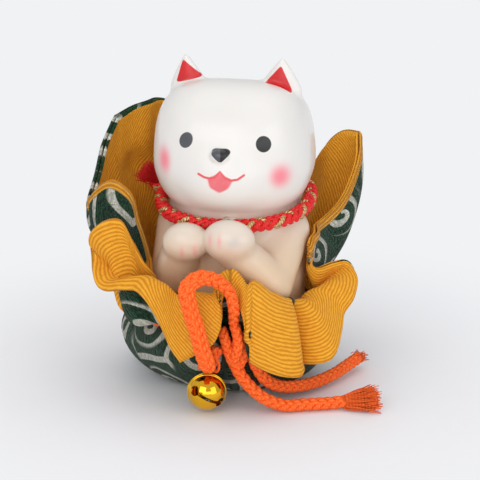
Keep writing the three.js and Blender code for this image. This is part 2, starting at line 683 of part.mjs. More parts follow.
// A cord's cut end opens into a brush, flattened by the table.
function brushEnd(name, route, length, width, thickness) {
  const end = new THREE.Vector3(...route[route.length - 1]);
  const before = new THREE.Vector3(...route[route.length - 2]);
  const direction = end.clone().sub(before).normalize();
  const profile = [
    new THREE.Vector2(0, 0),
    new THREE.Vector2(CORD_DIAMETER / 2 - 0.2, 0),
    new THREE.Vector2(CORD_DIAMETER / 2, length * 0.25),
    new THREE.Vector2(width / 2, length * 0.85),
    new THREE.Vector2(width / 2 - 0.5, length),
    new THREE.Vector2(0, length),
  ];
  const brushGeometry = new THREE.LatheGeometry(profile, 12);
  const position = brushGeometry.attributes.position;
  for (let i = 0; i < position.count; i++) {
    const share = Math.max(0, position.getY(i) / length);
    position.setZ(i, position.getZ(i) * THREE.MathUtils.lerp(1, thickness / width, Math.min(1, share * 1.2)));
  }
  const piece = addMesh(figurine, name, brushGeometry, orangeCord);
  const across = new THREE.Vector3().crossVectors(direction, new THREE.Vector3(0, 0, 1)).normalize();
  const flat = new THREE.Vector3().crossVectors(across, direction);
  piece.quaternion.setFromRotationMatrix(new THREE.Matrix4().makeBasis(across, direction, flat));
  piece.position.copy(end).addScaledVector(direction, RUNNING_GAP);
}

brushEnd("tail_front_fray", frontTailRoute, FRAY_LENGTH, FRAY_WIDTH, FRAY_THICKNESS);
brushEnd("tail_back_fray", backTailRoute, CUT_END_LENGTH, CORD_DIAMETER + 0.6, CORD_DIAMETER);

// The jingle bell hangs by a thread from the foot of the bow. Its own frame has the mouth along +Z.
const BELL_RADIUS = BELL_DIAMETER / 2;
const EYE_RADIUS = (EYE_BORE + EYE_WIRE) / 2;
const eyeCentre = -(BELL_RADIUS + EYE_BORE / 2 - 0.05);
const bell = new THREE.Group();
const mouth = new THREE.Vector3(0.06, -0.99, -0.08).normalize();
const slotAcross = new THREE.Vector3(0.88, 0, -0.47).cross(mouth).normalize();
const slotAlong = new THREE.Vector3().crossVectors(mouth, slotAcross).normalize();
const bellTurn = new THREE.Matrix4().makeBasis(slotAlong, slotAcross.clone().negate(), mouth);
bell.quaternion.setFromRotationMatrix(bellTurn);

// The cloth bulges towards the bell's eye, which hangs a named distance in front of it.
function bellyFront(x, height) {
  const a = Math.acos(1 - (height - CLOTH_MIDDLE) / (BELLY_HEIGHT - CLOTH_MIDDLE));
  const radius = BASE_RADIUS + (BELLY_RADIUS - BASE_RADIUS) * (0.75 * Math.sin(a) + 0.25 * (1 - Math.cos(a)));
  const outside = radius + CLOTH_THICKNESS / 2;
  return -Math.sqrt(outside ** 2 - (x - bellyLean(height)) ** 2);
}

const eyeOffset = mouth.clone().multiplyScalar(eyeCentre);
const bellX = BOW_FOOT[0] - BELL_ASIDE;
const bellZ = BELL_RADIUS + BELL_FLOOR_GAP;
const eyeBack = bellyFront(bellX + eyeOffset.x, bellZ + eyeOffset.z) - EYE_TO_CLOTH;
bell.position.set(bellX, eyeBack - EYE_RADIUS - EYE_WIRE / 2 - eyeOffset.y, bellZ);
figurine.add(bell);

// A half shell as a lathe profile from the pole's hole to the seam and back along the inside.
function halfShell(holeRadius, seamGap) {
  const outer = [];
  const inner = [];
  const innerRadius = BELL_RADIUS - BELL_WALL;
  const steps = 6;
  const seam = seamGap / 2;
  for (let k = 0; k <= steps; k++) {
    const share = k / steps;
    const fromOuter = Math.asin(holeRadius / BELL_RADIUS);
    const toOuter = Math.acos(seam / BELL_RADIUS);
    const fromInner = Math.asin(holeRadius / innerRadius);
    const toInner = Math.acos(seam / innerRadius);
    const a = THREE.MathUtils.lerp(fromOuter, toOuter, share);
    const b = THREE.MathUtils.lerp(toInner, fromInner, share);
    outer.push(new THREE.Vector2(BELL_RADIUS * Math.sin(a), BELL_RADIUS * Math.cos(a)));
    inner.push(new THREE.Vector2(innerRadius * Math.sin(b), innerRadius * Math.cos(b)));
  }
  const lip = new THREE.Vector2(BELL_RADIUS + BELL_SEAM_WIDTH / 2, seam);
  const lipTop = new THREE.Vector2(BELL_RADIUS + BELL_SEAM_WIDTH / 2, seam + BELL_SEAM_WIDTH);
  outer.splice(outer.length - 1, 1, lipTop, lip);
  return { outer, inner };
}

function latheAboutZ(points, segments) {
  return new THREE.LatheGeometry(points, segments).rotateX(Math.PI / 2);
}

const SEAM_GAP = 0.3;
const eyeHole = EYE_WIRE / 2 + RUNNING_GAP + 0.55;
const upper = halfShell(eyeHole, SEAM_GAP);
const upperProfile = [...upper.outer, ...upper.inner, upper.outer[0].clone()].reverse();
const upperShell = latheAboutZ(upperProfile, 18).rotateX(Math.PI);
addMesh(bell, "bell_upper_shell", upperShell, gold);

const lower = halfShell(0.0001, SEAM_GAP);
lower.outer[0].x = 0;
lower.inner[lower.inner.length - 1].x = 0;
const lowerProfile = [...lower.outer, ...lower.inner].reverse();
let lowerShell = solidOf(latheAboutZ(lowerProfile, 18));
const slotReach = BELL_RADIUS * Math.sin(SLOT_HALF_ANGLE);
const slotCut = new THREE.BoxGeometry(2 * slotReach, SLOT_WIDTH, BELL_RADIUS);
slotCut.translate(0, 0, BELL_RADIUS * 0.85);
lowerShell = lowerShell.subtract(solidOf(slotCut));
const holeCutDepth = 8 * BELL_WALL;
for (const end of [-1, 1]) {
  const hole = new THREE.CylinderGeometry(SLOT_HOLE_DIAMETER / 2, SLOT_HOLE_DIAMETER / 2, holeCutDepth, 16)
    .rotateX(Math.PI / 2)
    .translate(0, 0, BELL_RADIUS)
    .rotateY(end * SLOT_HALF_ANGLE);
  lowerShell = lowerShell.subtract(solidOf(hole));
}
addMesh(bell, "bell_lower_shell", geometryOf(lowerShell), gold);

// The eye is a wire ring through the pole's hole, open to the thread on the outside.
const eyeRing = new THREE.TorusGeometry(EYE_RADIUS, EYE_WIRE / 2, 8, 16);
const eyePlane = new THREE.Vector3(0, 0, 1).applyQuaternion(bell.quaternion.clone().invert());
const eye = addMesh(bell, "bell_eye", eyeRing, gold);
eye.quaternion.setFromUnitVectors(new THREE.Vector3(0, 0, 1), eyePlane);
eye.position.set(0, 0, eyeCentre);

const pelletDrop = BELL_RADIUS - BELL_WALL - PELLET_DIAMETER / 2 - RUNNING_GAP;
const pellet = new THREE.SphereGeometry(PELLET_DIAMETER / 2, 12, 8);
const pelletMesh = addMesh(figurine, "bell_pellet", pellet, steel);
pelletMesh.position.copy(bell.position).add(new THREE.Vector3(0, 0, -pelletDrop));

// The thread goes over the foot of the bow, over the bell, down through the eye, and ends in a knot.
const threadRing = CORD_DIAMETER / 2 + RUNNING_GAP + THREAD_DIAMETER / 2;
const eyeWorld = new THREE.Vector3(0, 0, eyeCentre).applyQuaternion(bell.quaternion).add(bell.position);
const overFoot = [200, 165, 130, 90, 50, 15, -15].map((degrees) => {
  const angle = THREE.MathUtils.degToRad(degrees);
  const [x, y, z] = BOW_FOOT;
  return [x + threadRing * Math.cos(angle), y, z + threadRing * Math.sin(angle)];
});
const overBell = [
  [2.6, -1.8, BELL_RADIUS + 1],
  [1.6, 1, BELL_RADIUS + 1],
  [0.4, 4, BELL_RADIUS - 0.5],
].map(([x, y, z]) => [bell.position.x + x, bell.position.y + y, bell.position.z + z]);
const threadRoute = [
  ...overFoot,
  ...overBell,
  [eyeWorld.x, eyeWorld.y - 0.1, eyeWorld.z + 1.8],
  [eyeWorld.x, eyeWorld.y, eyeWorld.z],
  [eyeWorld.x, eyeWorld.y + 0.4, eyeWorld.z - 1],
];
const threadEnd = new THREE.SphereGeometry(THREAD_KNOT_DIAMETER / 2, 8, 6);
threadEnd.translate(eyeWorld.x, eyeWorld.y + 0.6, eyeWorld.z - 1 - THREAD_KNOT_DIAMETER / 2 + 0.3);
const threadCord = cord(threadRoute, 34, THREAD_DIAMETER, THREAD_DIAMETER, [0, 1, 0]);
const thread = solidOf(threadCord).add(solidOf(threadEnd));
addMesh(figurine, "bell_thread", geometryOf(thread), orangeCord);

export default figurine;
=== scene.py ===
"""The looks of a glazed ceramic dog wrapped in a square cloth: skin, crepe, braided cords and bell."""

import functools
import math

import bmesh
import bpy
import numpy as np
from mathutils import Matrix, Vector


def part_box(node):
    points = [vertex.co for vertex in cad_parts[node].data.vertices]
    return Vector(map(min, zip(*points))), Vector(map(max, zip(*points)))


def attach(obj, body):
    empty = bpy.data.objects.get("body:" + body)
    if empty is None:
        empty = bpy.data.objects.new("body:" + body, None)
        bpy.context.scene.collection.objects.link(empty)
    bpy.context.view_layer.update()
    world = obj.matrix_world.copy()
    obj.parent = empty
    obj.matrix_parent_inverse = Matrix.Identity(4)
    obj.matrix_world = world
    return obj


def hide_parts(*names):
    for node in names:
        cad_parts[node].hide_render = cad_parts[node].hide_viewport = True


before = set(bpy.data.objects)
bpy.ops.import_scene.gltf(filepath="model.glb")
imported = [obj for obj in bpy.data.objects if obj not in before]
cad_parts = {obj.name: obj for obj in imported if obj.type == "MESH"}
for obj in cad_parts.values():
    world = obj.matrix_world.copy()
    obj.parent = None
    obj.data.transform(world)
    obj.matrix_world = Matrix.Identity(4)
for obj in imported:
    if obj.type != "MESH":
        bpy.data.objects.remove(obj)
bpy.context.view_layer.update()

bl_info = {
    "name": "Wrapped dog ornament",
    "version": (1, 0, 0),
    "blender": (4, 5, 0),
    "location": "View3D > Sidebar > Ornament",
    "description": "Builds a ceramic dog wrapped in a square cloth, with its cords, collar and bell",
    "category": "Object",
}

# Shapes are worked out in millimetres, as in the CAD, and turned into metres when a mesh is made.
MM = 0.001
SEED = 11

# Wrapping cloth
CLOTH_SIDE = 140
OUTER_THICKNESS = 0.7
LINING_THICKNESS = 0.7
LAYER_GAP = 0.3
BASE_RADIUS = 18
BELLY_RADIUS = 30.2
BELLY_HEIGHT = 13
BELLY_LEAN = -2.3
GATHER_RADIUS = 24
GATHER_HEIGHT = 22
DRAWN_FRILL = 22
CLOTH_TO_DOG = 0.3
CLOTH_THICKNESS = OUTER_THICKNESS + LAYER_GAP + LINING_THICKNESS
CLOTH_MIDDLE = OUTER_THICKNESS + LAYER_GAP / 2
DOG_FLOOR = CLOTH_THICKNESS + CLOTH_TO_DOG
DOG_TURN = math.radians(-11)

# Ceramic dog
HEAD_WIDTH = 46
HEAD_DEPTH = 43
HEAD_HEIGHT = 41
HEAD_CENTRE_HEIGHT = 67
HEAD_BOTTOM_POWER = 2.35
HEAD_TOP_POWER = 3.3
HEAD_FRONT_POWER = 2.4
CROWN_NARROWING = 0.06
CROWN_SLOPE = 0.1
MUZZLE_WIDTH = 19
NOSE_WIDTH = 5.2
NECK_WIDTH = 35.5
BODY_WIDTH = 42
BODY_DEPTH = 37
CHEST_HEIGHT = 34
FORELEG_WIDTH = 12.5
PAW_WIDTH = 14
EAR_WIDTHS = {-1: 11, 1: 12.6}
EAR_SHIFTS = {-1: 0, 1: -0.9}
EAR_LEAN = 0.8
EAR_TIP = 0.9
EAR_HEIGHT = 8.4
EAR_SPREAD = 27
EAR_DEPTH = 6
EAR_BACK = 2
EAR_SUNK = 5
OUTSIDE_THE_DOG = 75

# Collar
COLLAR_WIDTH = 4.2
COLLAR_TO_NECK = 0.3
COLLAR_FRONT_HEIGHT = 49.6
COLLAR_BACK_HEIGHT = 53.5
COLLAR_KNOT_WIDTH = 7
COLLAR_KNOT_ANGLE = math.radians(162)
TUFT_LENGTH = 4.4
TUFT_WIDTH = 6.5
TUFT_DIRECTION = (-0.72, -0.25, 0.6)
TUFT_FIBRES = 300

# Orange cord
CORD_WIDTH = 4
CORD_TO_CLOTH = 0.3
KNOT_CENTRE = (0.5, -32.3, GATHER_HEIGHT - 0.5)
KNOT_WIDTH = 8.4
KNOT_BRAID_WIDTH = 3.4
FIBRE_WIDTH = 0.16
TUFT_FIBRE_WIDTH = 0.15

# A braid's strands, as shares of its width: how wide and thick they are and how far they go in and out.
STRAND_SHARES = (0.19, 0.14)
WEAVE_DEPTH = 0.1
BRAID_SPACING = 0.3
THREAD_SPACING = 0.2
LOOP_ROUTE = [
    (-0.2, -33.6, 26.2),
    (-0.3, -35.8, 31),
    (-1.5, -36, 35.8),
    (-5.1, -36.5, 39.2),
    (-9.5, -37.5, 40.2),
    (-12.9, -39.5, 38),
    (-12.2, -41.2, 33),
    (-10.2, -42, 26.3),
    (-8.6, -42.2, 20),
    (-7.7, -41.9, 17.2),
    (-7.3, -40.6, 15.5),
    (-7.1, -38.6, 15),
    (-6.7, -36.6, 15.3),
    (-5.9, -35.2, 16.8),
    (-4.9, -34.3, 18.6),
]
FRONT_TAIL_ROUTE = [
    (-0.8, -34, 16.2),
    (0.4, -34.3, 13),
    (3, -35.2, 9),
    (7.6, -36.6, 5),
    (13.5, -36.3, 2.4),
    (18.2, -35.2, 2.1),
    (26.6, -34, 2.1),
    (31, -33.4, 2.4),
]
BACK_TAIL_ROUTE = [
    (4.3, -32.8, 17.6),
    (6, -33.4, 13),
    (8.6, -32.4, 8.5),
    (12.6, -29.6, 5.4),
    (17, -26.4, 4),
    (22.3, -21.8, 3.3),
    (28, -15.8, 3.3),
    (33, -8.4, 3.6),
    (35.8, -4, 3.8),
]

# Each row is a point of the cloth's rim and how the cloth reaches it: from further out or in, from above
# or below, and at which azimuth it leaves the gather.
LEFT_RIM = [
    (-34.5, 10, 73.5, 4, -20, 155),
    (-37.5, 5, 66.5, 4, -20, 161),
    (-39.5, -1, 57.5, 4, -16, 168),
    (-42, -7, 51.5, 3, -12, 175),
    (-39.5, -9.5, 56.5, 3, -12, 181),
    (-35, -11.5, 60.5, 2, -14, 186),
    (-31, -13, 58, 2, -14, 190),
    (-28, -13.5, 51, 2, -12, 195),
    (-25, -13.8, 43, 2, -9, 199.5),
    (-23.4, -14.8, 36.5, 2, -5, 203.5),
    (-22.8, -17.2, 34.4, 1, -2, 208.7),
    (-24.6, -20, 37.5, 0, -5, 213.5),
    (-28.4, -21, 45.5, -1, -9, 216),
    (-32, -22, 52, -1, -10, 218.5),
    (-37.5, -22.5, 51, 0, -9, 221),
    (-41.5, -21, 45.5, -2, -6, 224),
    (-41.5, -23, 38.5, -3, 0, 227),
    (-37.5, -26, 33, -4, 6, 230),
    (-31.5, -29, 33.5, -4, 8, 233),
    (-26, -31.5, 33, -3, 10, 236.5),
    (-21, -34, 26.5, -2, 17, 240),
    (-17.5, -36, 19, -2, 22, 243),
    (-15, -37, 15.5, -2, 24, 246),
]
FRONT_RIM = [
    (-15, -37, 15.5, -2, 24, 246),
    (-10, -38, 18.5, -2, 21, 249),
    (-5.8, -37.5, 21.5, -2, 18, 252),
    (-4.4, -36, 26.5, -2, 14, 256),
    (-4.2, -33.2, 31, -2, 14, 260),
    (-2.6, -31.6, 34, -2, 13, 265),
    (-0.4, -31.6, 34.5, -2, 13, 270),
    (1.6, -33.4, 32, -2, 14, 275),
    (2.8, -36.4, 27.5, -3, 17, 279),
    (3.7, -38.4, 21.5, -3, 23, 283),
    (4.5, -39, 16, -3, 28, 286),
]
RIGHT_RIM = [
    (4.5, -39, 16, -3, 28, 286),
    (11, -38.5, 12.5, -3, 24.5, 294),
    (17.6, -36.2, 10.8, -4, 21, 302),
    (20, -31, 11.2, -4, 19, 306),
    (22, -29.5, 11.5, -5, 16.5, 309),
    (27, -28, 13, -6, 15, 313),
    (30.5, -20.5, 19.5, -5, 11, 320),
    (34, -13, 26.5, -4, 8, 329),
    (35, -9, 30.5, -4, 3, 337),
    (32.5, -6, 34.5, -3, -4, 342),
    (28, -7, 34.5, -2, -7, 346),
    (23, -10, 34, 0, -8, 350),
    (20.5, -11, 37.5, 1, -8, 353),
    (18.5, -10.5, 43, 2, -9, 356),
    (21.5, -5, 44, 3, -12, 360),
    (27.5, 3, 45.5, 5, -14, 367),
    (32.5, 8, 52, 6, -16, 374),
    (36, 13, 62, 5, -18, 382),
    (36, 16, 67, 4, -20, 389),
]
BACK_RIM = [
    (36, 16, 67, 4, -20, 389),
    (32, 19, 66.5, 4, -20, 395),
    (25, 24, 57, 4, -16, 405),
    (18, 31, 49, 3, -12, 416),
    (10, 27, 45, 3, -9, 429),
    (2, 32, 46, 4, -9, 443),
    (-6, 27, 51, 4, -11, 457),
    (-13, 25, 63, 4, -16, 470),
    (-18, 21, 74.5, 4, -20, 482),
    (-25, 16, 77, 4, -22, 497),
    (-34.5, 10, 73.5, 4, -20, 515),
]

# Each side of the square: its rim, its columns, and along its length the flat place (p, q) of the edge,
# given as shares and the p and q at them, and how far the lining rolls over the edge. Below 0, the green
# crepe rolls over it.
HALF_SIDE = CLOTH_SIDE / 2
FULL_ROLL = 2.3
GREEN_ROLL = -1.3
SIDES_OF_CLOTH = [
    (LEFT_RIM, 200, [(0, 1), (-HALF_SIDE, -HALF_SIDE)], [(0, 1), (HALF_SIDE, -HALF_SIDE)],
     [(0, 0.14, 0.2, 0.68, 0.75, 1), (GREEN_ROLL, GREEN_ROLL, FULL_ROLL, FULL_ROLL, 0.8, 0)]),
    (FRONT_RIM, 110, [(0, 0.55, 0.56, 1), (-HALF_SIDE, -HALF_SIDE + 30, HALF_SIDE - 25, HALF_SIDE)],
     [(0, 1), (-HALF_SIDE, -HALF_SIDE)], [(0, 1), (0, 0)]),
    (RIGHT_RIM, 150, [(0, 1), (HALF_SIDE, HALF_SIDE)], [(0, 1), (-HALF_SIDE, HALF_SIDE)],
     [(0, 0.5, 0.6, 1), (0, 0, FULL_ROLL, FULL_ROLL)]),
    (BACK_RIM, 130, [(0, 1), (HALF_SIDE, -HALF_SIDE)], [(0, 1), (HALF_SIDE, HALF_SIDE)],
     [(0, 0.1, 0.8, 1), (FULL_ROLL, 0, 0, GREEN_ROLL)]),
]

# Rows of the cloth's grid: flat ones on the base, each of the two arcs of its belly, and the frill.
FLAT_ROWS = 3
FLAT_SHARES = (0.35, 0.7)
ARC_ROWS = 12
FRILL_ROWS = 56
EDGE_RADIUS = 0.6
EDGE_SWELL = 0.25
PLEAT_DEPTH = 0.44
TIE_CORD_HEIGHT = GATHER_HEIGHT + 1

# Between these azimuths the cloth hangs over the tie cord, so far out and down.
DROOP_FROM, DROOP_TO = 206, 244
DROOP_OUT, DROOP_DOWN = 3, 8.5

# Creases that run down the cloth: azimuth, half width in degrees, depth.
CREASES = [
    (176, 3, 1.5),
    (192, 4, 1.2),
    (226, 2.2, 3),
    (234.5, 2, 1.6),
    (286, 2.5, 1.2),
    (307, 2.2, 4),
    (323, 3, 1.5),
    (366, 4, 1.2),
    (400, 5, 2),
    (425, 6, 2),
    (452, 5, 2),
    (480, 5, 1.5),
    (500, 5, 1.5),
]

# The foot of the bow, where the bell is tied, and which side of each cord is seen.
BOW_FOOT = np.array(LOOP_ROUTE[11])
LOOP_FACING = [(0, -1, 0)] * 9 + [
    (0, -1, -0.3),
    (0, -0.6, -1),
    (0, 0, -1),
    (0, 0.3, -1),
    (0, 1, -0.5),
    (0, 1, -0.3),
]
TAIL_FACING = (0.1, -1, 0.6)
KNOT_ROUTES = [
    [(-0.2, -33.8, 25.6), (0.6, -35.4, 23.4), (1, -36.4, 20.4), (0.4, -36.4, 17.6), (-0.8, -35.2, 15.4)],
    [(-3.6, -32.6, 23.4), (-2.8, -34.4, 21.6), (-2, -35.2, 19), (-1.2, -35.4, 16.4), (-0.4, -34.6, 14.4)],
    [(3.8, -32.2, 22.8), (3.2, -34, 21), (3, -34.8, 18.4), (2.2, -35, 15.8), (1.2, -34.6, 13.8)],
    [(-3.4, -32.4, 17.4), (-1.8, -33.8, 18.4), (0.4, -34.2, 19.6), (2.6, -33.6, 21), (4, -32, 22.2)],
]

# Strands numbered from here on are gold thread.
GOLD_NUMBER = 1000

# This turn of a braid brings a column of V stitches to the side that is seen.
FACING_STITCHES = 3 * math.pi / 8

# Weave of the cloth
RIB_PITCH = 0.93
VINE_CELL = 19
VINE_PITCH = 5
VINE_WIDTH = 1.9
VINE_BLUR = 0.15

# Paint on the dog, in its own frame seen from the front: centres as (x, z), half widths and heights, tilts.
LEFT_EYE = ((-9.9, 73.75), (1.85, 2.35), -35)
RIGHT_EYE = ((11.77, 73.5), (1.98, 2.28), 20)
NOSE = [(-1.9, 72.3), (-2.5, 71.2), (0.4, 68.5), (3.2, 71.2), (2.6, 72.3)]
MOUTH_LEFT = [(-5.86, 65.06), (-4.16, 64.35), (-2.6, 64.11), (-1.09, 64.55), (0.35, 66.05)]
MOUTH_RIGHT = [(0.35, 66.05), (1.72, 64.5), (3.51, 63.82), (5.26, 64.07), (6.88, 65.23)]
MOUTH_LINE_WIDTH = 0.62
TONGUE = [(0.35, 66), (-3.4, 64.2), (-2.7, 61.4), (0.2, 59.8), (2.9, 61.3), (4.2, 63.9)]
EAR_PAINT = [
    [(-15.1, 92), (-17.1, 85.1), (-9.3, 87.1)],
    [(13.2, 91.3), (8.5, 86), (16.8, 83.6)],
]
CHEEKS = [((-16.9, 66.9), (2, 3.7)), ((16.1, 63.9), (2.6, 3.3))]
TOES = [
    ((-9.6, 43.4), (0.6, 1.7)),
    ((-6, 44), (0.6, 1.7)),
    ((-1.4, 47.8), (0.6, 1.8)),
    ((1.4, 48), (0.6, 1.8)),
]
GREY_BRUSH = ((5.5, 47.9), (2, 1.6))
UNPAINTED = 50

# Jingle bell
BELL_RADIUS = 10.5 / 2
BELL_WALL = 0.5
BELL_SEAM_WIDTH = 0.5
SEAM_GAP = 0.3
SLOT_WIDTH = 0.9
SLOT_HOLE_WIDTH = 2.9
SLOT_HALF_ANGLE = math.radians(50)
PELLET_RADIUS = 1.5
EYE_BORE = 1.6
THREAD_WIDTH = 0.9
RUNNING_GAP = 0.3
EYE_HOLE_RADIUS = 1.15
NO_HOLE = 0.0001
MOUTH_DIRECTION = (0.06, -0.99, -0.08)
SLOT_DIRECTION = (0.88, 0, -0.47)

# Camera and light
CAMERA_PLACE = (1.45, -570.6, 224.4)
CAMERA_PITCH = 18
CAMERA_LENS = 155.25
FLOOR_SIDE = 6
GLOW_FROM_TO = (0.03, 0.13)
WORLD_STRENGTH = 0.72
LIGHTS_AIM = 0.04
LIGHTS = [
    ("key", (-0.35, -0.7, 0.42), (0.6, 0.5), 1.7, (1, 0.99, 0.97)),
    ("front", (0.05, -0.9, 0.16), (0.9, 0.25), 1.0, (1, 0.98, 0.95)),
    ("fill", (0.6, -0.6, 0.25), (0.5, 0.7), 1.4, (0.98, 0.99, 1)),
    ("top", (0.05, 0.15, 0.8), (0.7, 0.7), 1.0, (1, 1, 1)),
]


def smooth(x, low, high):
    """A smooth step from 0 at the low value to 1 at the high one."""
    t = np.clip((x - low) / (high - low), 0, 1)
    return t * t * (3 - 2 * t)


def lerp(a, b, t):
    """The value a share t of the way from a to b."""
    return a + (b - a) * t


def unit(v):
    """Vectors of length 1 with the directions of v."""
    return v / np.maximum(np.linalg.norm(v, axis=-1, keepdims=True), 1e-9)


# The dog's skin: rounded forms blended into each other, the same ones as in the CAD.
def head_form(p):
    """Distance from the head: a rounded box, wider below, with a crown that slopes back."""
    up = p[:, 2] - HEAD_CENTRE_HEIGHT
    up = np.where(up > 0, up / (1 - CROWN_SLOPE * smooth(p[:, 1], -8, 12)), up)
    power = lerp(HEAD_BOTTOM_POWER, HEAD_TOP_POWER, smooth(up, -8, 8))
    crown = 1 - CROWN_NARROWING * smooth(up, -6, HEAD_HEIGHT / 2)
    across = np.abs(p[:, 0] / (crown * HEAD_WIDTH / 2))
    face = (across**power + np.abs(up / (HEAD_HEIGHT / 2)) ** power) ** (1 / power)
    forward = np.abs(p[:, 1] / (HEAD_DEPTH / 2))
    size = (face**HEAD_FRONT_POWER + forward**HEAD_FRONT_POWER) ** (1 / HEAD_FRONT_POWER)
    return (size - 1) * HEAD_HEIGHT / 2


def ellipsoid(p, centre, radii):
    """Distance of the points p from an ellipsoid."""
    q = (p - np.array(centre)) / np.array(radii)
    size = np.linalg.norm(q, axis=1)
    slope = np.linalg.norm(q / np.array(radii), axis=1)
    return size * (size - 1) / np.maximum(slope, 1e-9)


def limb(p, start, end, radius_start, radius_end):
    """Distance of the points p from a round limb."""
    start, end = np.array(start, float), np.array(end, float)
    along = end - start
    share = np.clip(((p - start) @ along) / (along @ along), 0, 1)
    away = np.linalg.norm(p - start - share[:, None] * along, axis=1)
    return away - lerp(radius_start, radius_end, share)


def blended(a, b, radius):
    """The lesser of two distances, with a soft seam where they are alike."""
    share = np.maximum(radius - np.abs(a - b), 0) / radius
    return np.minimum(a, b) - share * share * radius / 4


def trunk_form(p):
    """Distance from the head, neck, body and haunches."""
    face = -HEAD_DEPTH / 2
    haunch = BELLY_RADIUS - CLOTH_THICKNESS / 2 - CLOTH_TO_DOG - 1
    muzzle = ellipsoid(p, (0, face + 4.5, 62.5), (MUZZLE_WIDTH / 2, 6, 7))
    nose = ellipsoid(p, (0, face - 0.6, 70.2), (NOSE_WIDTH / 2, 1.6, 1.9))
    neck = ellipsoid(p, (0, 0.5, 51), (NECK_WIDTH / 2, NECK_WIDTH / 2 - 0.5, 14))
    body = ellipsoid(p, (0, 0.5, CHEST_HEIGHT), (BODY_WIDTH / 2, BODY_DEPTH / 2, 27))
    seat = ellipsoid(p, (BELLY_LEAN, 0, BELLY_HEIGHT), (haunch, haunch, BELLY_HEIGHT + 0.3))
    head = blended(blended(head_form(p), muzzle, 5), nose, 0.8)
    return blended(blended(blended(body, seat, 6), neck, 5), head, 1.5)


def dog_form(p):
    """Distance from the whole dog but its ears."""
    leg = FORELEG_WIDTH / 2
    chest = -BODY_DEPTH / 2
    right_upper = limb(p, (16, -3, 44), (13.5, chest + 2, 32), leg, leg)
    right_lower = limb(p, (12.5, chest + 1, 33.5), (2, chest - 4, 45.5), leg, leg - 0.8)
    left_upper = limb(p, (-16, -3, 44), (-15.5, chest + 5, 32), leg, leg)
    left_lower = limb(p, (-14.5, chest + 4, 33), (-11, chest - 1.5, 43.5), leg, leg - 0.8)
    right_paw = ellipsoid(p, (3.2, chest - 6.2, 47.2), (PAW_WIDTH / 2 + 0.3, 5.2, 5.4))
    left_paw = ellipsoid(p, (-9.2, chest - 4.4, 45.4), (PAW_WIDTH / 2 - 0.4, 5, 5.2))
    skin = blended(blended(trunk_form(p), right_upper, 3), left_upper, 3)
    skin = blended(skin, blended(right_lower, right_paw, 2.5), 1.2)
    skin = blended(skin, blended(left_lower, left_paw, 2.5), 1.2)
    return np.maximum(skin, DOG_FLOOR - p[:, 2])


def ear_form(p, side, seat):
    """One ear, from its seat on the crown up; it leans out and forward, and its front is flatter."""
    above = np.clip((p[:, 2] - seat) / EAR_HEIGHT, 0, 1)
    width = lerp(EAR_WIDTHS[side] / 2, EAR_TIP, above**1.15)
    depth = lerp(EAR_DEPTH / 2, EAR_TIP, above**1.3)
    across = p[:, 0] - side * (EAR_SPREAD / 2 + EAR_LEAN * above) - EAR_SHIFTS[side]
    back = p[:, 1] - EAR_BACK + EAR_LEAN * above
    depth = np.where(back < 0, 0.75 * depth, depth)
    wall = (np.hypot(across / width, back / depth) - 1) * np.minimum(width, depth)
    return -blended(-wall, seat + EAR_HEIGHT + 0.6 - p[:, 2], 1.2)


def skin_along(directions, start, reach, form):
    """How far out from start the skin lies in each direction, looking inwards from reach."""
    far = np.full(len(directions), float(reach))
    near = far.copy()
    todo = np.arange(len(directions))
    while len(todo):
        value = form(start + directions[todo] * near[todo, None])
        out = value >= 0
        todo = todo[out]
        far[todo] = near[todo]
        near[todo] -= np.clip(0.4 * value[out], 0.25, 5)
        todo = todo[near[todo] > 0]
    for _ in range(14):
        middle = (near + far) / 2
        inside = form(start + directions * middle[:, None]) < 0
        near = np.where(inside, middle, near)
        far = np.where(inside, far, middle)
    return (near + far) / 2


def ear_seat(side):
    """Height at which an ear stands on the crown."""
    top = np.array([[side * EAR_SPREAD / 2, EAR_BACK, HEAD_CENTRE_HEIGHT]])
    return HEAD_CENTRE_HEIGHT + skin_along(np.array([[0, 0, 1.0]]), top, 40, dog_form)[0] - 1


def casting_form(seats):
    """The form of the whole casting, with both ears blended into the head."""
    def form(p):
        skin = dog_form(p)
        for side, seat in seats.items():
            skin = blended(skin, ear_form(p, side, seat), 1.2)
        return skin

    return form


def catmull(points, t):
    """Points of a centripetal spline through the given ones, at t from 0 to 1."""
    points = np.asarray(points, float)
    padded = np.vstack([2 * points[0] - points[1], points, 2 * points[-1] - points[-2]])
    place = np.clip(np.asarray(t, float), 0, 1) * (len(points) - 1)
    k = np.minimum(place.astype(int), len(points) - 2)
    w = (place - k)[:, None]
    p0, p1, p2, p3 = (padded[k + i] for i in range(4))
    d0, d1, d2 = (np.sqrt(np.linalg.norm(b - a, axis=1))[:, None] for a, b in ((p0, p1), (p1, p2), (p2, p3)))
    m1 = ((p1 - p0) / d0 - (p2 - p0) / (d0 + d1) + (p2 - p1) / d1) * d1
    m2 = ((p2 - p1) / d1 - (p3 - p1) / (d1 + d2) + (p3 - p2) / d2) * d1
    return p1 + m1 * w + (3 * (p2 - p1) - 2 * m1 - m2) * w**2 + (2 * (p1 - p2) + m1 + m2) * w**3


def even_places(points, shares, divisions=400):
    """The spline's t at shares of its length."""
    t = np.linspace(0, 1, divisions + 1)
    walked = np.concatenate([[0], np.cumsum(np.linalg.norm(np.diff(catmull(points, t), axis=0), axis=1))])
    return np.interp(np.asarray(shares) * walked[-1], walked, t), walked[-1]


def turned(p, angle):
    """Points turned about the upright axis."""
    c, s = math.cos(angle), math.sin(angle)
    return np.stack([p[..., 0] * c - p[..., 1] * s, p[..., 0] * s + p[..., 1] * c, p[..., 2]], -1)


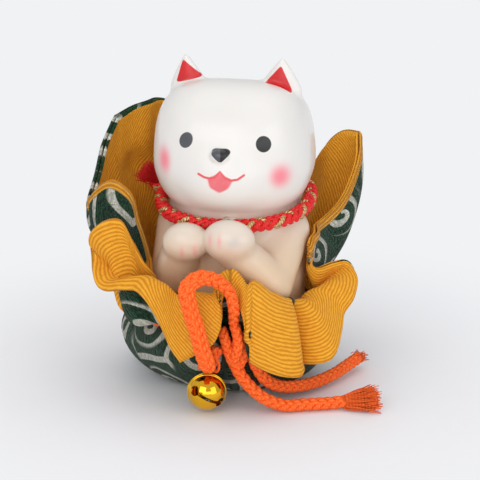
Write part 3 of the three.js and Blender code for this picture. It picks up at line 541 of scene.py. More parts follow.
# The collar's centre line, in the dog's own frame.
def collar_point(angle, lift):
    """A point that stands a lift away from the neck's skin, on the collar's tilted ring."""
    tilt = (COLLAR_BACK_HEIGHT - COLLAR_FRONT_HEIGHT) / NECK_WIDTH
    direction = unit(np.array([[math.cos(angle), math.sin(angle), math.sin(angle) * tilt]]))
    centre = np.array([0, 0, (COLLAR_FRONT_HEIGHT + COLLAR_BACK_HEIGHT) / 2])
    rises = (-COLLAR_WIDTH / 2, 0, COLLAR_WIDTH / 2)
    widest = max(skin_along(direction, centre + np.array([0, 0, rise]), 40, trunk_form)[0] for rise in rises)
    return centre + direction[0] * (widest + lift)


def collar_knot_point():
    """The middle of the collar's knot."""
    return collar_point(COLLAR_KNOT_ANGLE, COLLAR_KNOT_WIDTH / 2 + COLLAR_TO_NECK)


# The wrapping cloth is a grid: columns run from the middle of its base to the rim, rows run round it.
def gather_profile(low_angles, high_angles):
    """Radius and height of the cloth's rings from its flat bottom to the tie, at angles of the two arcs."""
    a, b = np.radians(low_angles), np.radians(high_angles)
    low = np.stack([
        BASE_RADIUS + (BELLY_RADIUS - BASE_RADIUS) * (0.75 * np.sin(a) + 0.25 * (1 - np.cos(a))),
        CLOTH_MIDDLE + (BELLY_HEIGHT - CLOTH_MIDDLE) * (1 - np.cos(a)),
    ], 1)
    high = np.stack([
        GATHER_RADIUS + (BELLY_RADIUS - GATHER_RADIUS) * np.cos(b),
        BELLY_HEIGHT + (GATHER_HEIGHT - BELLY_HEIGHT) * np.sin(b),
    ], 1)
    return np.vstack([low, high])


def clear_of_dog(p):
    """Moves points of the cloth straight out from the dog's axis until they clear the dog, knot and tuft."""
    clearance = CLOTH_THICKNESS / 2 + CLOTH_TO_DOG + 0.9
    knot = collar_knot_point()
    end = knot + unit(np.array(TUFT_DIRECTION)) * (COLLAR_KNOT_WIDTH / 2 + TUFT_LENGTH)
    p = turned(p, -DOG_TURN)
    out = unit(p * np.array([1, 1, 0]))
    for _ in range(16):
        value = np.minimum(dog_form(p), np.linalg.norm(p - knot, axis=1) - COLLAR_KNOT_WIDTH / 2)
        value = np.minimum(value, limb(p, knot, end, TUFT_WIDTH / 2 + 2, TUFT_WIDTH / 2 + 2))
        p = p + out * np.maximum(clearance - value, 0)[:, None]
    return turned(p, DOG_TURN)


def eased(push, times=6):
    """Evens out how far neighbouring points were moved."""
    for _ in range(times):
        wide = np.pad(push, ((1, 1), (1, 1), (0, 0)), mode="edge")
        beside = wide[:-2, 1:-1] + wide[2:, 1:-1] + wide[1:-1, :-2] + wide[1:-1, 2:]
        push = (2 * push + beside) / 6
    return push


def belly_rings(profile, outward):
    """The rings of the cloth's belly, up to the tie, for columns that run outward."""
    radius, height = profile.T
    lean = BELLY_LEAN * smooth(height, 0, BELLY_HEIGHT)
    lean = lean * (1 - 0.5 * smooth(height, BELLY_HEIGHT, GATHER_HEIGHT))
    rings = outward[:, None] * radius[None, :, None]
    rings[:, :, 0] += lean
    rings[:, :, 2] += height
    raised = rings[:, 1:].reshape(-1, 3)
    rings[:, 1:] = clear_of_dog(raised).reshape(len(rings), -1, 3)
    return rings


def frill_columns(tie, edge, reach, degrees, outward, count):
    """The frill's columns: each rises from the tie and reaches its edge, with droops and creases."""
    edge_out = unit(edge * np.array([1, 1, 0]))
    away = np.linalg.norm(edge - tie, axis=1)
    rise = np.maximum(np.maximum(0.33 * away, 0.65 * reach[:, 1]), 6)
    spread = 0.2 * rise + 0.45 * np.maximum(0, np.hypot(edge[:, 0], edge[:, 1]) - 36)
    up = np.array([0, 0, 1.0])
    first = tie + 0.97 * rise[:, None] * up + spread[:, None] * outward
    second = edge + reach[:, 1:2] * up + reach[:, :1] * edge_out
    s = (np.arange(1, count + 1) / count)[None, :, None]
    frill = (1 - s) ** 3 * tie[:, None] + 3 * (1 - s) ** 2 * s * first[:, None]
    frill = frill + 3 * (1 - s) * s**2 * second[:, None] + s**3 * edge[:, None]
    hanging = smooth(degrees, DROOP_FROM - 6, DROOP_FROM + 6)
    hanging = hanging * (1 - smooth(degrees, DROOP_TO - 6, DROOP_TO + 4))
    fold = hanging[:, None, None] * np.sin(math.pi * np.clip((s - 0.18) / 0.5, 0, 1)) ** 2
    frill = frill + fold * (DROOP_OUT * outward[:, None] - DROOP_DOWN * up)
    sunk = sum(depth * np.exp(-(((degrees - place) / wide) ** 2)) for place, wide, depth in CREASES)
    frill = frill - sunk[:, None, None] * smooth(s, 0.15, 0.5) * outward[:, None]
    return frill + eased(clear_of_dog(frill.reshape(-1, 3)).reshape(frill.shape) - frill)


def arc_rows(fineness):
    """How many rows of the grid each arc of the gathered belly takes."""
    return max(4, round(ARC_ROWS * fineness))


def cloth_grid(fineness):
    """The cloth's middle surface, its weave (p, q, distance to the edge), prints, rolls and azimuths."""
    coarse = gather_profile([0, 30, 60, 90], [45, 90])
    gathered = BASE_RADIUS + np.linalg.norm(np.diff(coarse, axis=0), axis=1).sum()
    scale = (CLOTH_SIDE / 2 - gathered) / DRAWN_FRILL
    quarter = np.linspace(0, 90, arc_rows(fineness) + 1)
    profile = gather_profile(quarter, quarter[1:])
    columns, weave, prints, roll, azimuths = [], [], [], [], []
    for rim, count, start, end, rolls in SIDES_OF_CLOTH:
        count = round(count * fineness)
        rim = np.array(rim)
        shares = np.arange(count) / count
        t, _ = even_places(rim[:, :3], shares)
        edge_at = catmull(rim[:, :3], t)
        handle = catmull(rim[:, 3:], t)
        azimuth = np.radians(handle[:, 2])
        outward = np.stack([np.cos(azimuth), np.sin(azimuth), 0 * azimuth], 1)
        rings = belly_rings(profile, outward)
        tie = rings[:, -1]
        edge = tie + (edge_at - tie) * scale
        reach = handle[:, :2] * scale
        frill = frill_columns(tie, edge, reach, handle[:, 2], outward, round(FRILL_ROWS * fineness))
        share = np.array(FLAT_SHARES)[None, :, None]
        flat_rows = share * rings[:, :1] + np.array([0, 0, 1]) * (1 - share) * CLOTH_MIDDLE
        column = np.concatenate([flat_rows, rings, frill], 1)
        walked = np.linalg.norm(np.diff(column, axis=1), axis=2).cumsum(1)
        walked = np.concatenate([np.zeros((count, 1)), walked], 1) + FLAT_SHARES[0] * BASE_RADIUS
        along = np.array([np.interp(shares, *start), np.interp(shares, *end)]).T
        pq = (walked / walked[:, -1:])[:, :, None] * along[:, None]
        weave.append(np.concatenate([pq, (walked[:, -1:] - walked)[:, :, None]], 2))
        drawn_in = np.arange(column.shape[1]) < FLAT_ROWS + len(rings[0]) - 1
        belly = np.stack([np.broadcast_to(azimuth[:, None] * BELLY_RADIUS, walked.shape), walked], 2)
        prints.append(np.where(drawn_in[None, :, None], belly, pq))
        roll.append(np.interp(shares, *rolls))
        azimuths.append(azimuth)
        columns.append(column)
    return tuple(np.concatenate(part) for part in (columns, weave, prints, roll, azimuths))


def grid_normals(grid):
    """Normals of a grid of columns that closes on itself, pointing away from the dog."""
    round_it = np.roll(grid, -1, 0) - np.roll(grid, 1, 0)
    up = np.gradient(grid, axis=1)
    return unit(np.cross(round_it, up))


def pleated(grid, azimuths, tie_row):
    """Small folds that run out from the tie, deepest beside it."""
    rng = np.random.default_rng(SEED)
    wave = np.zeros(len(grid))
    for count in (13, 19, 29, 41):
        wave += np.sin(count * azimuths + rng.uniform(0, 2 * math.pi)) * (13 / count) ** 0.6
    rows = np.arange(grid.shape[1])
    below = smooth(rows, tie_row * 0.45, tie_row)
    above = 1 - 0.8 * smooth(rows, tie_row + 2, tie_row + (grid.shape[1] - tie_row) * 0.55)
    depth = PLEAT_DEPTH * np.where(rows <= tie_row, below, above)
    return grid + grid_normals(grid) * (wave[:, None] * depth[None, :])[:, :, None]


def mesh_object(name, points, faces, fields=None):
    """A mesh object from points in millimetres, with float or vector fields stored on its points."""
    mesh = bpy.data.meshes.new(name)
    mesh.from_pydata((np.asarray(points) * MM).tolist(), [], [list(map(int, f)) for f in faces])
    for field, values in (fields or {}).items():
        values = np.asarray(values, np.float32)
        kind, key = ("FLOAT", "value") if values.ndim == 1 else ("FLOAT_VECTOR", "vector")
        mesh.attributes.new(field, kind, "POINT").data.foreach_set(key, values.ravel())
    mesh.polygons.foreach_set("use_smooth", [True] * len(mesh.polygons))
    mesh.update()
    made = bpy.data.objects.new(name, mesh)
    bpy.context.scene.collection.objects.link(made)
    return made


def cloth_layer(name, grid, normals, weave, prints, roll, outer_side, inner_side):
    """One layer of the cloth between two offsets of its middle surface, with a swollen, round edge."""
    columns, rows = grid.shape[:2]
    edge = weave[:, :, 2]
    hump = EDGE_SWELL * np.sin(math.pi * np.clip((2.4 - edge) / 2.4, 0, 1)) ** 2
    rounding = np.sqrt(1 - (1 - np.clip(edge / EDGE_RADIUS, 0.06, 1)) ** 2)
    middle = (outer_side + inner_side) / 2
    half = (outer_side - inner_side) / 2 * rounding
    directions = normals.copy()
    directions[:, :FLAT_ROWS] = (0, 0, -1)
    faces_out = grid + directions * (middle + half + max(np.sign(middle), 0) * hump)[:, :, None]
    faces_in = grid + directions * (middle - half + min(np.sign(middle), 0) * hump)[:, :, None]
    centre = np.array([0, 0, CLOTH_MIDDLE])
    points, faces = [], []
    for turn, side in enumerate((faces_out, faces_in)):
        offset = turn * (columns * rows + 1)
        points += [side.reshape(-1, 3), centre[None] + np.array([[0, 0, -(outer_side, inner_side)[turn]]])]
        a = (np.arange(columns)[:, None] * rows + np.arange(rows - 1)[None, :]).ravel()
        b = (np.roll(np.arange(columns), -1)[:, None] * rows + np.arange(rows - 1)[None, :]).ravel()
        quads = np.stack([a, b, b + 1, a + 1], 1) + offset
        hub = np.full(columns, columns * rows)
        first_row = np.arange(columns) * rows
        fan = np.stack([hub, np.roll(first_row, -1), first_row], 1) + offset
        if turn:
            quads, fan = quads[:, ::-1], fan[:, ::-1]
        faces += quads.tolist() + fan.tolist()
    last = np.arange(columns) * rows + rows - 1
    following = np.roll(last, -1)
    across = columns * rows + 1
    faces += np.stack([last, following, following + across, last + across], 1).tolist()
    spot = np.concatenate([weave.reshape(-1, 3), [[0, 0, CLOTH_SIDE / 2]]])
    rolls = np.concatenate([np.repeat(roll, rows), [0]])
    printed = np.concatenate([prints.reshape(-1, 2), [[0, 0]]])
    printed = np.concatenate([printed, np.zeros((len(printed), 1))], 1)
    fields = {"weave": np.tile(spot, (2, 1)), "print": np.tile(printed, (2, 1)), "roll": np.tile(rolls, 2)}
    return mesh_object(name, np.concatenate(points), faces, fields)


def cord_line(route, spacing, facing):
    """A cord's centre line, its two cross directions and its length; one facing, or one for each part."""
    count = max(8, int(even_places(route, [1])[1] / spacing))
    t, length = even_places(route, np.linspace(0, 1, count + 1), 1200)
    line = catmull(route, t)
    tangent = unit(np.gradient(line, axis=0))
    facing = np.asarray(facing, float)
    if facing.ndim == 1:
        facing = np.broadcast_to(facing, line.shape)
    else:
        place = t * (len(facing) - 1)
        facing = np.stack([np.interp(place, np.arange(len(facing)), way) for way in facing.T], 1)
    normal = unit(facing - (facing * tangent).sum(1, keepdims=True) * tangent)
    return line, normal, np.cross(tangent, normal), length


def swept(path, radial, half_wide, half_thick, sides=8):
    """A tube round a path: an oval whose thin way is radial. Returns points, faces and (along, around)."""
    tangent = unit(np.gradient(path, axis=0))
    radial = unit(radial - (radial * tangent).sum(1, keepdims=True) * tangent)
    side = np.cross(tangent, radial)
    angle = 2 * math.pi * np.arange(sides) / sides
    half_wide = np.broadcast_to(half_wide, len(path))[:, None, None]
    half_thick = np.broadcast_to(half_thick, len(path))[:, None, None]
    ring = half_thick * np.cos(angle)[None, :, None] * radial[:, None]
    ring = ring + half_wide * np.sin(angle)[None, :, None] * side[:, None]
    points = (path[:, None] + ring).reshape(-1, 3)
    count = len(path)
    a = (np.arange(count - 1)[:, None] * sides + np.arange(sides)).ravel()
    b = (np.arange(count - 1)[:, None] * sides + (np.arange(sides) + 1) % sides).ravel()
    faces = np.stack([a, b, b + sides, a + sides], 1).tolist()
    faces += [list(range(sides))[::-1], [(count - 1) * sides + k for k in range(sides)]]
    walked = np.concatenate([[0], np.linalg.norm(np.diff(path, axis=0), axis=1).cumsum()])
    yarn = np.stack([np.repeat(walked, sides), np.tile(angle, count), np.zeros(count * sides)], 1)
    return points, faces, yarn


def joined(parts):
    """Points, faces and yarn fields of several tubes as one; each tube gets its own number."""
    points, faces, yarns, start = [], [], [], 0
    for number, (p, f, yarn) in enumerate(parts):
        yarn = yarn.copy()
        yarn[:, 2] += number
        points.append(p)
        yarns.append(yarn)
        faces += [[i + start for i in face] for face in f]
        start += len(p)
    return np.concatenate(points), faces, np.concatenate(yarns)


def yarn_object(name, parts):
    """Several tubes as one object."""
    points, faces, yarn = joined(parts)
    return mesh_object(name, points, faces, {"yarn": yarn})


def braid_parts(route, width, facing, pitch, gold=(), flatten=((0, 1), (1, 1)), plump=1.0):
    """A core and eight strands, four each way, over two and under two; those in gold are numbered apart.

    flatten gives shares of the length and how many times as wide the braid is there.
    """
    line, normal, other, length = cord_line(route, BRAID_SPACING, facing)
    s = np.linspace(0, length, len(line))
    turn = 2 * math.pi / pitch
    strand_wide, strand_thick = STRAND_SHARES[0] * width * plump, STRAND_SHARES[1] * width * plump
    depth = WEAVE_DEPTH * width
    core = width / 2 - strand_thick - depth
    wide = np.interp(s / length, *flatten)
    flat = 1 / np.sqrt(wide)
    parts = [swept(line, normal, core * wide, core * flat)]
    for way in (1, -1):
        for strand in range(4):
            angle = way * turn * s + strand * math.pi / 2 - FACING_STITCHES
            lift = core + way * depth * np.cos(2 * turn * s + way * (strand * math.pi - math.pi / 4))
            radial = (np.cos(angle) * flat)[:, None] * normal + (np.sin(angle) * wide)[:, None] * other
            path = line + lift[:, None] * radial
            points, faces, yarn = swept(path, radial, strand_wide * np.sqrt(wide), strand_thick)
            if strand in gold:
                yarn[:, 2] = GOLD_NUMBER
            parts.append((points, faces, yarn))
    return parts, line, length


def braid(name, route, width, facing, pitch, **shape):
    """A round braid along a route as one object, with its centre line and length."""
    parts, line, length = braid_parts(route, width, facing, pitch, **shape)
    return yarn_object(name, parts), line, length


def twisted(name, route, width, plies, pitch):
    """A thread of a few plies twisted together along a route."""
    line, normal, other, length = cord_line(route, THREAD_SPACING, (0, 1, 0.2))
    s = np.linspace(0, length, len(line))
    parts = []
    for ply in range(plies):
        angle = 2 * math.pi * (s / pitch + ply / plies)
        radial = np.cos(angle)[:, None] * normal + np.sin(angle)[:, None] * other
        parts.append(swept(line + radial * width * 0.22, radial, width * 0.27, width * 0.27, 7))
    return yarn_object(name, parts)


def brush(name, root, direction, length, root_width, tip_wide, tip_thick, count, fibre, floor=-math.inf):
    """Loose fibres that open out of a cut end: straight at the root and wavy at the tips, above the floor."""
    rng = np.random.default_rng(SEED + count)
    across = unit(np.cross(direction, (0, 0, 1.0)))
    flat = np.cross(across, direction)
    s = np.linspace(0, 1, 9)[:, None]
    parts = []
    for _ in range(count):
        place = rng.normal(0, 0.42, 2).clip(-1, 1)
        reach = length * (0.78 + 0.3 * rng.random())
        start = root + (across * place[0] + flat * place[1]) * root_width / 2
        end = start + direction * reach + across * place[0] * (tip_wide - root_width) / 1.6
        end = end + flat * place[1] * (tip_thick - root_width) / 1.6
        wave = rng.normal(0, 0.35, (2, 3))
        path = start + (end - start) * s + np.sin(s * math.pi * 1.5) * wave[0] * s + s**3 * wave[1]
        if floor > -math.inf:
            path[:, 2] = np.maximum(path[:, 2], floor + 0.3 * rng.random())
        facing = np.broadcast_to(flat, path.shape)
        parts.append(swept(path, facing, fibre * (1.1 - 0.6 * s[:, 0]), fibre * 0.8, 3))
    return yarn_object(name, parts)


def settle(points, form):
    """Moves points along the form's slope until they lie on its skin."""
    small = 0.02
    for _ in range(4):
        value = form(points)
        slope = np.stack([(form(points + small * way) - value) / small for way in np.eye(3)], 1)
        size = np.maximum((slope**2).sum(1), 0.05)
        points = points - slope * (np.clip(value / size, -0.5, 0.5))[:, None]
    return points


def on_painted_front(place):
    """Whether a place, in millimetres, is where the face is painted."""
    return place.y < 1 and abs(place.x) < 20 and place.z > 56


def casting_mesh(subdivisions, voxel):
    """Points in the dog's own frame, and faces, of its skin: body and ears seen from inside, made one."""
    ball = bmesh.new()
    bmesh.ops.create_icosphere(ball, subdivisions=subdivisions, radius=1)
    directions = unit(np.array([v.co[:] for v in ball.verts]))
    faces = [[v.index for v in f.verts] for f in ball.faces]
    ball.free()
    seats = {side: ear_seat(side) for side in (-1, 1)}
    hearts = [(np.array([[0, -1, 47.0]]), OUTSIDE_THE_DOG, dog_form)]
    for side, seat in seats.items():
        middle = np.array([[side * EAR_SPREAD / 2, EAR_BACK, seat + EAR_HEIGHT / 3]])
        hearts.append((middle, EAR_HEIGHT + EAR_SUNK, functools.partial(ear_form, side=side, seat=seat)))
    shells, shell_faces = [], []
    for turn, (heart, reach, form) in enumerate(hearts):
        shells.append(heart + directions * skin_along(directions, heart, reach, form)[:, None])
        shell_faces += [[i + turn * len(directions) for i in face] for face in faces]
    rough = mesh_object("rough_casting", np.concatenate(shells), shell_faces)
    remesh = rough.modifiers.new("one skin", "REMESH")
    remesh.mode = "VOXEL"
    remesh.voxel_size = voxel * MM
    bpy.context.view_layer.update()
    skin = bpy.data.meshes.new_from_object(rough.evaluated_get(bpy.context.evaluated_depsgraph_get()))
    work = bmesh.new()
    work.from_mesh(skin)
    face = [edge for edge in work.edges if all(on_painted_front(v.co / MM) for v in edge.verts)]
    bmesh.ops.subdivide_edges(work, edges=face, cuts=2, use_grid_fill=True)
    points = np.array([v.co[:] for v in work.verts])
    faces = [[v.index for v in f.verts] for f in work.faces]
    work.free()
    bpy.data.objects.remove(rough)
    bpy.data.meshes.remove(skin)
    points = settle(points / MM, casting_form(seats))
    points[:, 2] = np.maximum(points[:, 2], DOG_FLOOR)
    return points, faces


class Graph:
    """Short calls for building one shader node tree."""

    def __init__(self, tree):
        self.tree = tree

    def node(self, kind, **settings):
        made = self.tree.nodes.new(kind)
        for name, value in settings.items():
            setattr(made, name, value)
        return made

    def feed(self, socket, value):
        if isinstance(value, bpy.types.NodeSocket):
            self.tree.links.new(value, socket)
        else:
            socket.default_value = value

    def math(self, operation, *values):
        made = self.node("ShaderNodeMath", operation=operation)
        for socket, value in zip(made.inputs, values):
            self.feed(socket, value)
        return made.outputs[0]

    def vector(self, operation, *values):
        made = self.node("ShaderNodeVectorMath", operation=operation)
        for socket, value in zip(made.inputs, values):
            self.feed(socket, value)
        return made.outputs["Value" if operation == "LENGTH" else "Vector"]

    def attribute(self, name, output="Fac"):
        return self.node("ShaderNodeAttribute", attribute_name=name).outputs[output]

    def split(self, vector):
        made = self.node("ShaderNodeSeparateXYZ")
        self.feed(made.inputs[0], vector)
        return made.outputs

    def merge(self, x=0.0, y=0.0, z=0.0):
        made = self.node("ShaderNodeCombineXYZ")
        for socket, value in zip(made.inputs, (x, y, z)):
            self.feed(socket, value)
        return made.outputs[0]

    def noise(self, vector, scale, detail=2.0, roughness=0.5, output="Fac"):
        made = self.node("ShaderNodeTexNoise")
        self.feed(made.inputs["Vector"], vector)
        made.inputs["Scale"].default_value = scale
        made.inputs["Detail"].default_value = detail
        made.inputs["Roughness"].default_value = roughness
        return made.outputs[output]

    def band(self, value, low, high, to_low=0.0, to_high=1.0):
        made = self.node("ShaderNodeMapRange", interpolation_type="SMOOTHSTEP")
        names = ("Value", "From Min", "From Max", "To Min", "To Max")
        for name, given in zip(names, (value, low, high, to_low, to_high)):
            self.feed(made.inputs[name], given)
        return made.outputs[0]

    def mix(self, factor, a, b):
        made = self.node("ShaderNodeMix", data_type="RGBA")
        self.feed(made.inputs[0], factor)
        self.feed(made.inputs[6], a)
        self.feed(made.inputs[7], b)
        return made.outputs[2]

    def bump(self, height, distance, strength):
        made = self.node("ShaderNodeBump")
        made.inputs["Strength"].default_value = strength
        made.inputs["Distance"].default_value = distance
        self.feed(made.inputs["Height"], height)
        return made.outputs[0]

    def around(self, value, spread):
        """The value less a half, spread times as large."""
        return self.math("MULTIPLY", self.math("SUBTRACT", value, 0.5), spread)

    def group(self, tree, **values):
        made = self.node("ShaderNodeGroup", node_tree=tree)
        for name, value in values.items():
            self.feed(made.inputs[name], value)
        return made.outputs


FLOAT, VECTOR = "NodeSocketFloat", "NodeSocketVector"


def node_group(name, inputs, outputs):
    """An empty shader node group with its sockets; returns the graph, the inputs and the output node."""
    tree = bpy.data.node_groups.new(name, "ShaderNodeTree")
    for socket, kind in inputs:
        tree.interface.new_socket(socket, in_out="INPUT", socket_type=kind)
    for socket, kind in outputs:
        tree.interface.new_socket(socket, in_out="OUTPUT", socket_type=kind)
    g = Graph(tree)
    return g, g.node("NodeGroupInput").outputs, g.node("NodeGroupOutput")


def linear(value):
    """One channel of a screen colour as linear light."""
    share = value / 255
    return ((share + 0.055) / 1.055) ** 2.4 if value > 10 else share / 12.92


def srgb(red, green, blue):
    """A colour seen on a screen, 0 to 255, as the linear one that a shader takes."""
    return (linear(red), linear(green), linear(blue), 1.0)


def material(name):
    """A new material, its graph and its shader."""
    made = bpy.data.materials.new(name)
    made.use_nodes = True
    g = Graph(made.node_tree)
    shader = next(n for n in made.node_tree.nodes if n.type == "BSDF_PRINCIPLED")
    return made, g, shader


def tune(shader, **values):
    """Sets constants on the shader's own sockets; their names are written with underscores."""
    for name, value in values.items():
        shader.inputs[name.replace("_", " ")].default_value = value


def ribbed_crepe_group():
    """Raised ribs a fixed pitch apart, a little uneven, with the fine crossing threads of crepe; Shade is
    painted shade, darker in the grooves.
    """
    g, take, give = node_group("ribbed_crepe", [("Weave", VECTOR)], [("Height", FLOAT), ("Shade", FLOAT)])
    weave = take["Weave"]
    drift = g.around(g.noise(weave, 0.11, 2.0), 1.2)
    small = g.around(g.noise(weave, 0.9, 2.0), 0.3)
    across = g.math("ADD", g.math("ADD", g.split(weave)[0], drift), small)
    wave = g.math("SINE", g.math("MULTIPLY", across, 2 * math.pi / RIB_PITCH))
    rib = g.math("POWER", g.math("MULTIPLY_ADD", wave, 0.5, 0.5), 0.75)
    rib = g.math("MULTIPLY", rib, g.band(g.noise(weave, 0.7, 3.0), 0.3, 0.62, 0.55, 1))
    thread = g.noise(g.vector("MULTIPLY", weave, (1.6, 3.2, 0)), 1.0, 3.0, 0.6)
    height = g.math("ADD", g.math("MULTIPLY", rib, 0.8), g.math("MULTIPLY", thread, 0.35))
    g.feed(give.inputs["Height"], height)
    g.feed(give.inputs["Shade"], g.math("MULTIPLY", rib, g.math("MULTIPLY_ADD", thread, 0.5, 0.75)))
    return g.tree


def crepe_grain_group():
    """The pebbled, crinkled face of heavy crepe; Shade is painted shade, darker in the hollows between the
    pebbles.
    """
    g, take, give = node_group("crepe_grain", [("Weave", VECTOR)], [("Height", FLOAT), ("Shade", FLOAT)])
    weave = take["Weave"]
    warp = g.vector("MULTIPLY", g.noise(weave, 0.8, 2.0, 0.5, "Color"), (0.9, 0.9, 0))
    cells = g.node("ShaderNodeTexVoronoi", feature="SMOOTH_F1")
    g.feed(cells.inputs["Vector"], g.vector("ADD", g.vector("MULTIPLY", weave, (1.0, 1.7, 0)), warp))
    cells.inputs["Scale"].default_value = 1.25
    cells.inputs["Smoothness"].default_value = 0.6
    pebbles = g.math("SUBTRACT", 1.0, cells.outputs["Distance"])
    fine = g.noise(weave, 3.5, 3.0, 0.6)
    height = g.math("ADD", g.math("MULTIPLY", pebbles, 0.8), g.math("MULTIPLY", fine, 0.4))
    g.feed(give.inputs["Height"], height)
    g.feed(give.inputs["Shade"], g.band(height, 0.35, 0.95))
    return g.tree


def vine_group():
    """Curling vines: a spiral in each cell of a loose lattice, joined by stems along the cells' borders."""
    g, take, give = node_group("vine", [("Weave", VECTOR)], [("Mask", FLOAT)])
    weave = take["Weave"]
    wobble = g.vector("SUBTRACT", g.noise(weave, 0.09, 1.0, 0.5, "Color"), (0.5, 0.5, 0.5))
    wobble = g.vector("MULTIPLY", wobble, (4.0, 4.0, 0))
    place = g.vector("MULTIPLY", g.vector("ADD", weave, wobble), (1, 1, 0))
    cells = g.node("ShaderNodeTexVoronoi", feature="F1", voronoi_dimensions="2D")
    border = g.node("ShaderNodeTexVoronoi", feature="DISTANCE_TO_EDGE", voronoi_dimensions="2D")
    for lattice in (cells, border):
        g.feed(lattice.inputs["Vector"], place)
        lattice.inputs["Scale"].default_value = 1 / VINE_CELL
        lattice.inputs["Randomness"].default_value = 0.55
    chance = g.split(cells.outputs["Color"])
    away = g.vector("SUBTRACT", place, cells.outputs["Position"])
    x, y, _ = g.split(away)
    radius = g.vector("LENGTH", away)
    angle = g.math("ARCTAN2", y, x)
    side = g.math("SIGN", g.math("SUBTRACT", chance[0], 0.5))
    turn = g.math("ADD", g.math("MULTIPLY", g.math("MULTIPLY", angle, side), 1 / (2 * math.pi)), chance[1])
    coil = g.math("FRACT", g.math("SUBTRACT", g.math("DIVIDE", radius, VINE_PITCH), turn))
    line = g.math("MULTIPLY", g.math("ABSOLUTE", g.math("SUBTRACT", coil, 0.5)), VINE_PITCH)
    on_line = g.band(line, VINE_WIDTH / 2 - VINE_BLUR, VINE_WIDTH / 2 + VINE_BLUR, 1, 0)
    spiral = g.math("MULTIPLY", on_line, g.band(radius, VINE_CELL * 0.34, VINE_CELL * 0.4, 1, 0))
    from_border = g.math("MULTIPLY", border.outputs["Distance"], VINE_CELL)
    stem = g.band(from_border, VINE_WIDTH * 0.38, VINE_WIDTH * 0.52, 1, 0)
    gate = g.band(g.noise(weave, 0.045, 1.0), 0.5, 0.55)
    g.feed(give.inputs["Mask"], g.math("MAXIMUM", spiral, g.math("MULTIPLY", stem, gate)))
    return g.tree


def yarn_group():
    """Filaments twisted round a strand, from its place along and round the strand; Shade is painted shade,
    darker between the filaments.
    """
    sockets = [("Yarn", VECTOR), ("Pitch", FLOAT)]
    g, take, give = node_group("yarn", sockets, [("Height", FLOAT), ("Shade", FLOAT)])
    along, around, number = g.split(take["Yarn"])
    phase = g.math("DIVIDE", along, take["Pitch"])
    phase = g.math("ADD", phase, g.math("MULTIPLY", around, 3 / (2 * math.pi)))
    twist = g.math("MULTIPLY_ADD", g.math("SINE", g.math("MULTIPLY", phase, 2 * math.pi)), 0.5, 0.5)
    spot = g.merge(g.math("MULTIPLY", along, 1.4), around, g.math("MULTIPLY", number, 7.3))
    fluff = g.noise(spot, 2.5, 3.0, 0.6)
    height = g.math("ADD", g.math("MULTIPLY", twist, 0.6), g.math("MULTIPLY", fluff, 0.5))
    g.feed(give.inputs["Height"], height)
    g.feed(give.inputs["Shade"], g.band(height, 0.15, 0.95))
    return g.tree


def shared(name, maker):
    """A node group that several materials use, made once."""
    return bpy.data.node_groups.get(name) or maker()


def two_crepes(g):
    """Both crepes, for a material that shows one and, rolled over its edge, the other.

    Returns the distance from the cloth's edge, then the ochre one's colour and relief, then the green one's.
    """
    tints = bpy.context.scene.ornament_tints
    weave = g.attribute("weave", "Vector")
    ribs = g.group(shared("ribbed_crepe", ribbed_crepe_group), Weave=weave)
    grain = g.group(shared("crepe_grain", crepe_grain_group), Weave=weave)
    vine = g.group(shared("vine", vine_group), Weave=g.attribute("print", "Vector"))["Mask"]
    patch = g.noise(weave, 0.12, 3.0)
    # Painted shade: low is the ochre in the grooves between the ribs, high the ochre on the ribs.
    low = g.mix(patch, tints.lining_groove_shade, srgb(210, 136, 24))
    high = g.mix(patch, tints.lining_rib, srgb(240, 174, 54))
    ochre = g.mix(g.band(ribs["Shade"], 0.1, 0.8), low, high)
    # Painted shade: the green and its printed vines are darker in the hollows between the pebbles and lighter
    # on them.
    ground = g.mix(grain["Shade"], tints.crepe_hollow_shade, tints.crepe_top)
    ground = g.mix(g.math("MULTIPLY", g.noise(weave, 0.2, 2.0), 0.35), ground, srgb(9, 46, 28))
    line = g.mix(grain["Shade"], srgb(168, 170, 156), tints.vine)
    green = g.mix(vine, ground, line)
    return g.split(weave)[2], ochre, ribs["Height"], green, grain["Height"]


def lining_material():
    """Ochre crepe, ribbed; where the green crepe rolls over the edge, that shows instead."""
    made, g, shader = material("ochre_crepe")
    edge, ochre, ribs, green, _ = two_crepes(g)
    over = g.math("LESS_THAN", edge, g.math("MULTIPLY", g.attribute("roll"), -1.0))
    g.feed(shader.inputs["Base Color"], g.mix(over, ochre, green))
    g.feed(shader.inputs["Normal"], g.bump(ribs, 0.0002, 0.8))
    tune(shader, Roughness=0.82, Specular_IOR_Level=0.25)
    tune(shader, Sheen_Weight=0.25, Sheen_Roughness=0.4, Sheen_Tint=srgb(255, 214, 120))
    return made


def outer_material():
    """Green crepe with white curling vines; where the lining rolls over the edge, that shows instead."""
    made, g, shader = material("green_crepe")
    edge, ochre, ribs, green, grain = two_crepes(g)
    over = g.math("LESS_THAN", edge, g.attribute("roll"))
    g.feed(shader.inputs["Base Color"], g.mix(over, green, ochre))
    height = g.math("MULTIPLY", grain, g.math("SUBTRACT", 1.0, over))
    height = g.math("ADD", height, g.math("MULTIPLY", ribs, over))
    g.feed(shader.inputs["Normal"], g.bump(height, 0.0009, 1.0))
    tune(shader, Roughness=0.9, Specular_IOR_Level=0.2, Sheen_Weight=0.15)
    return made


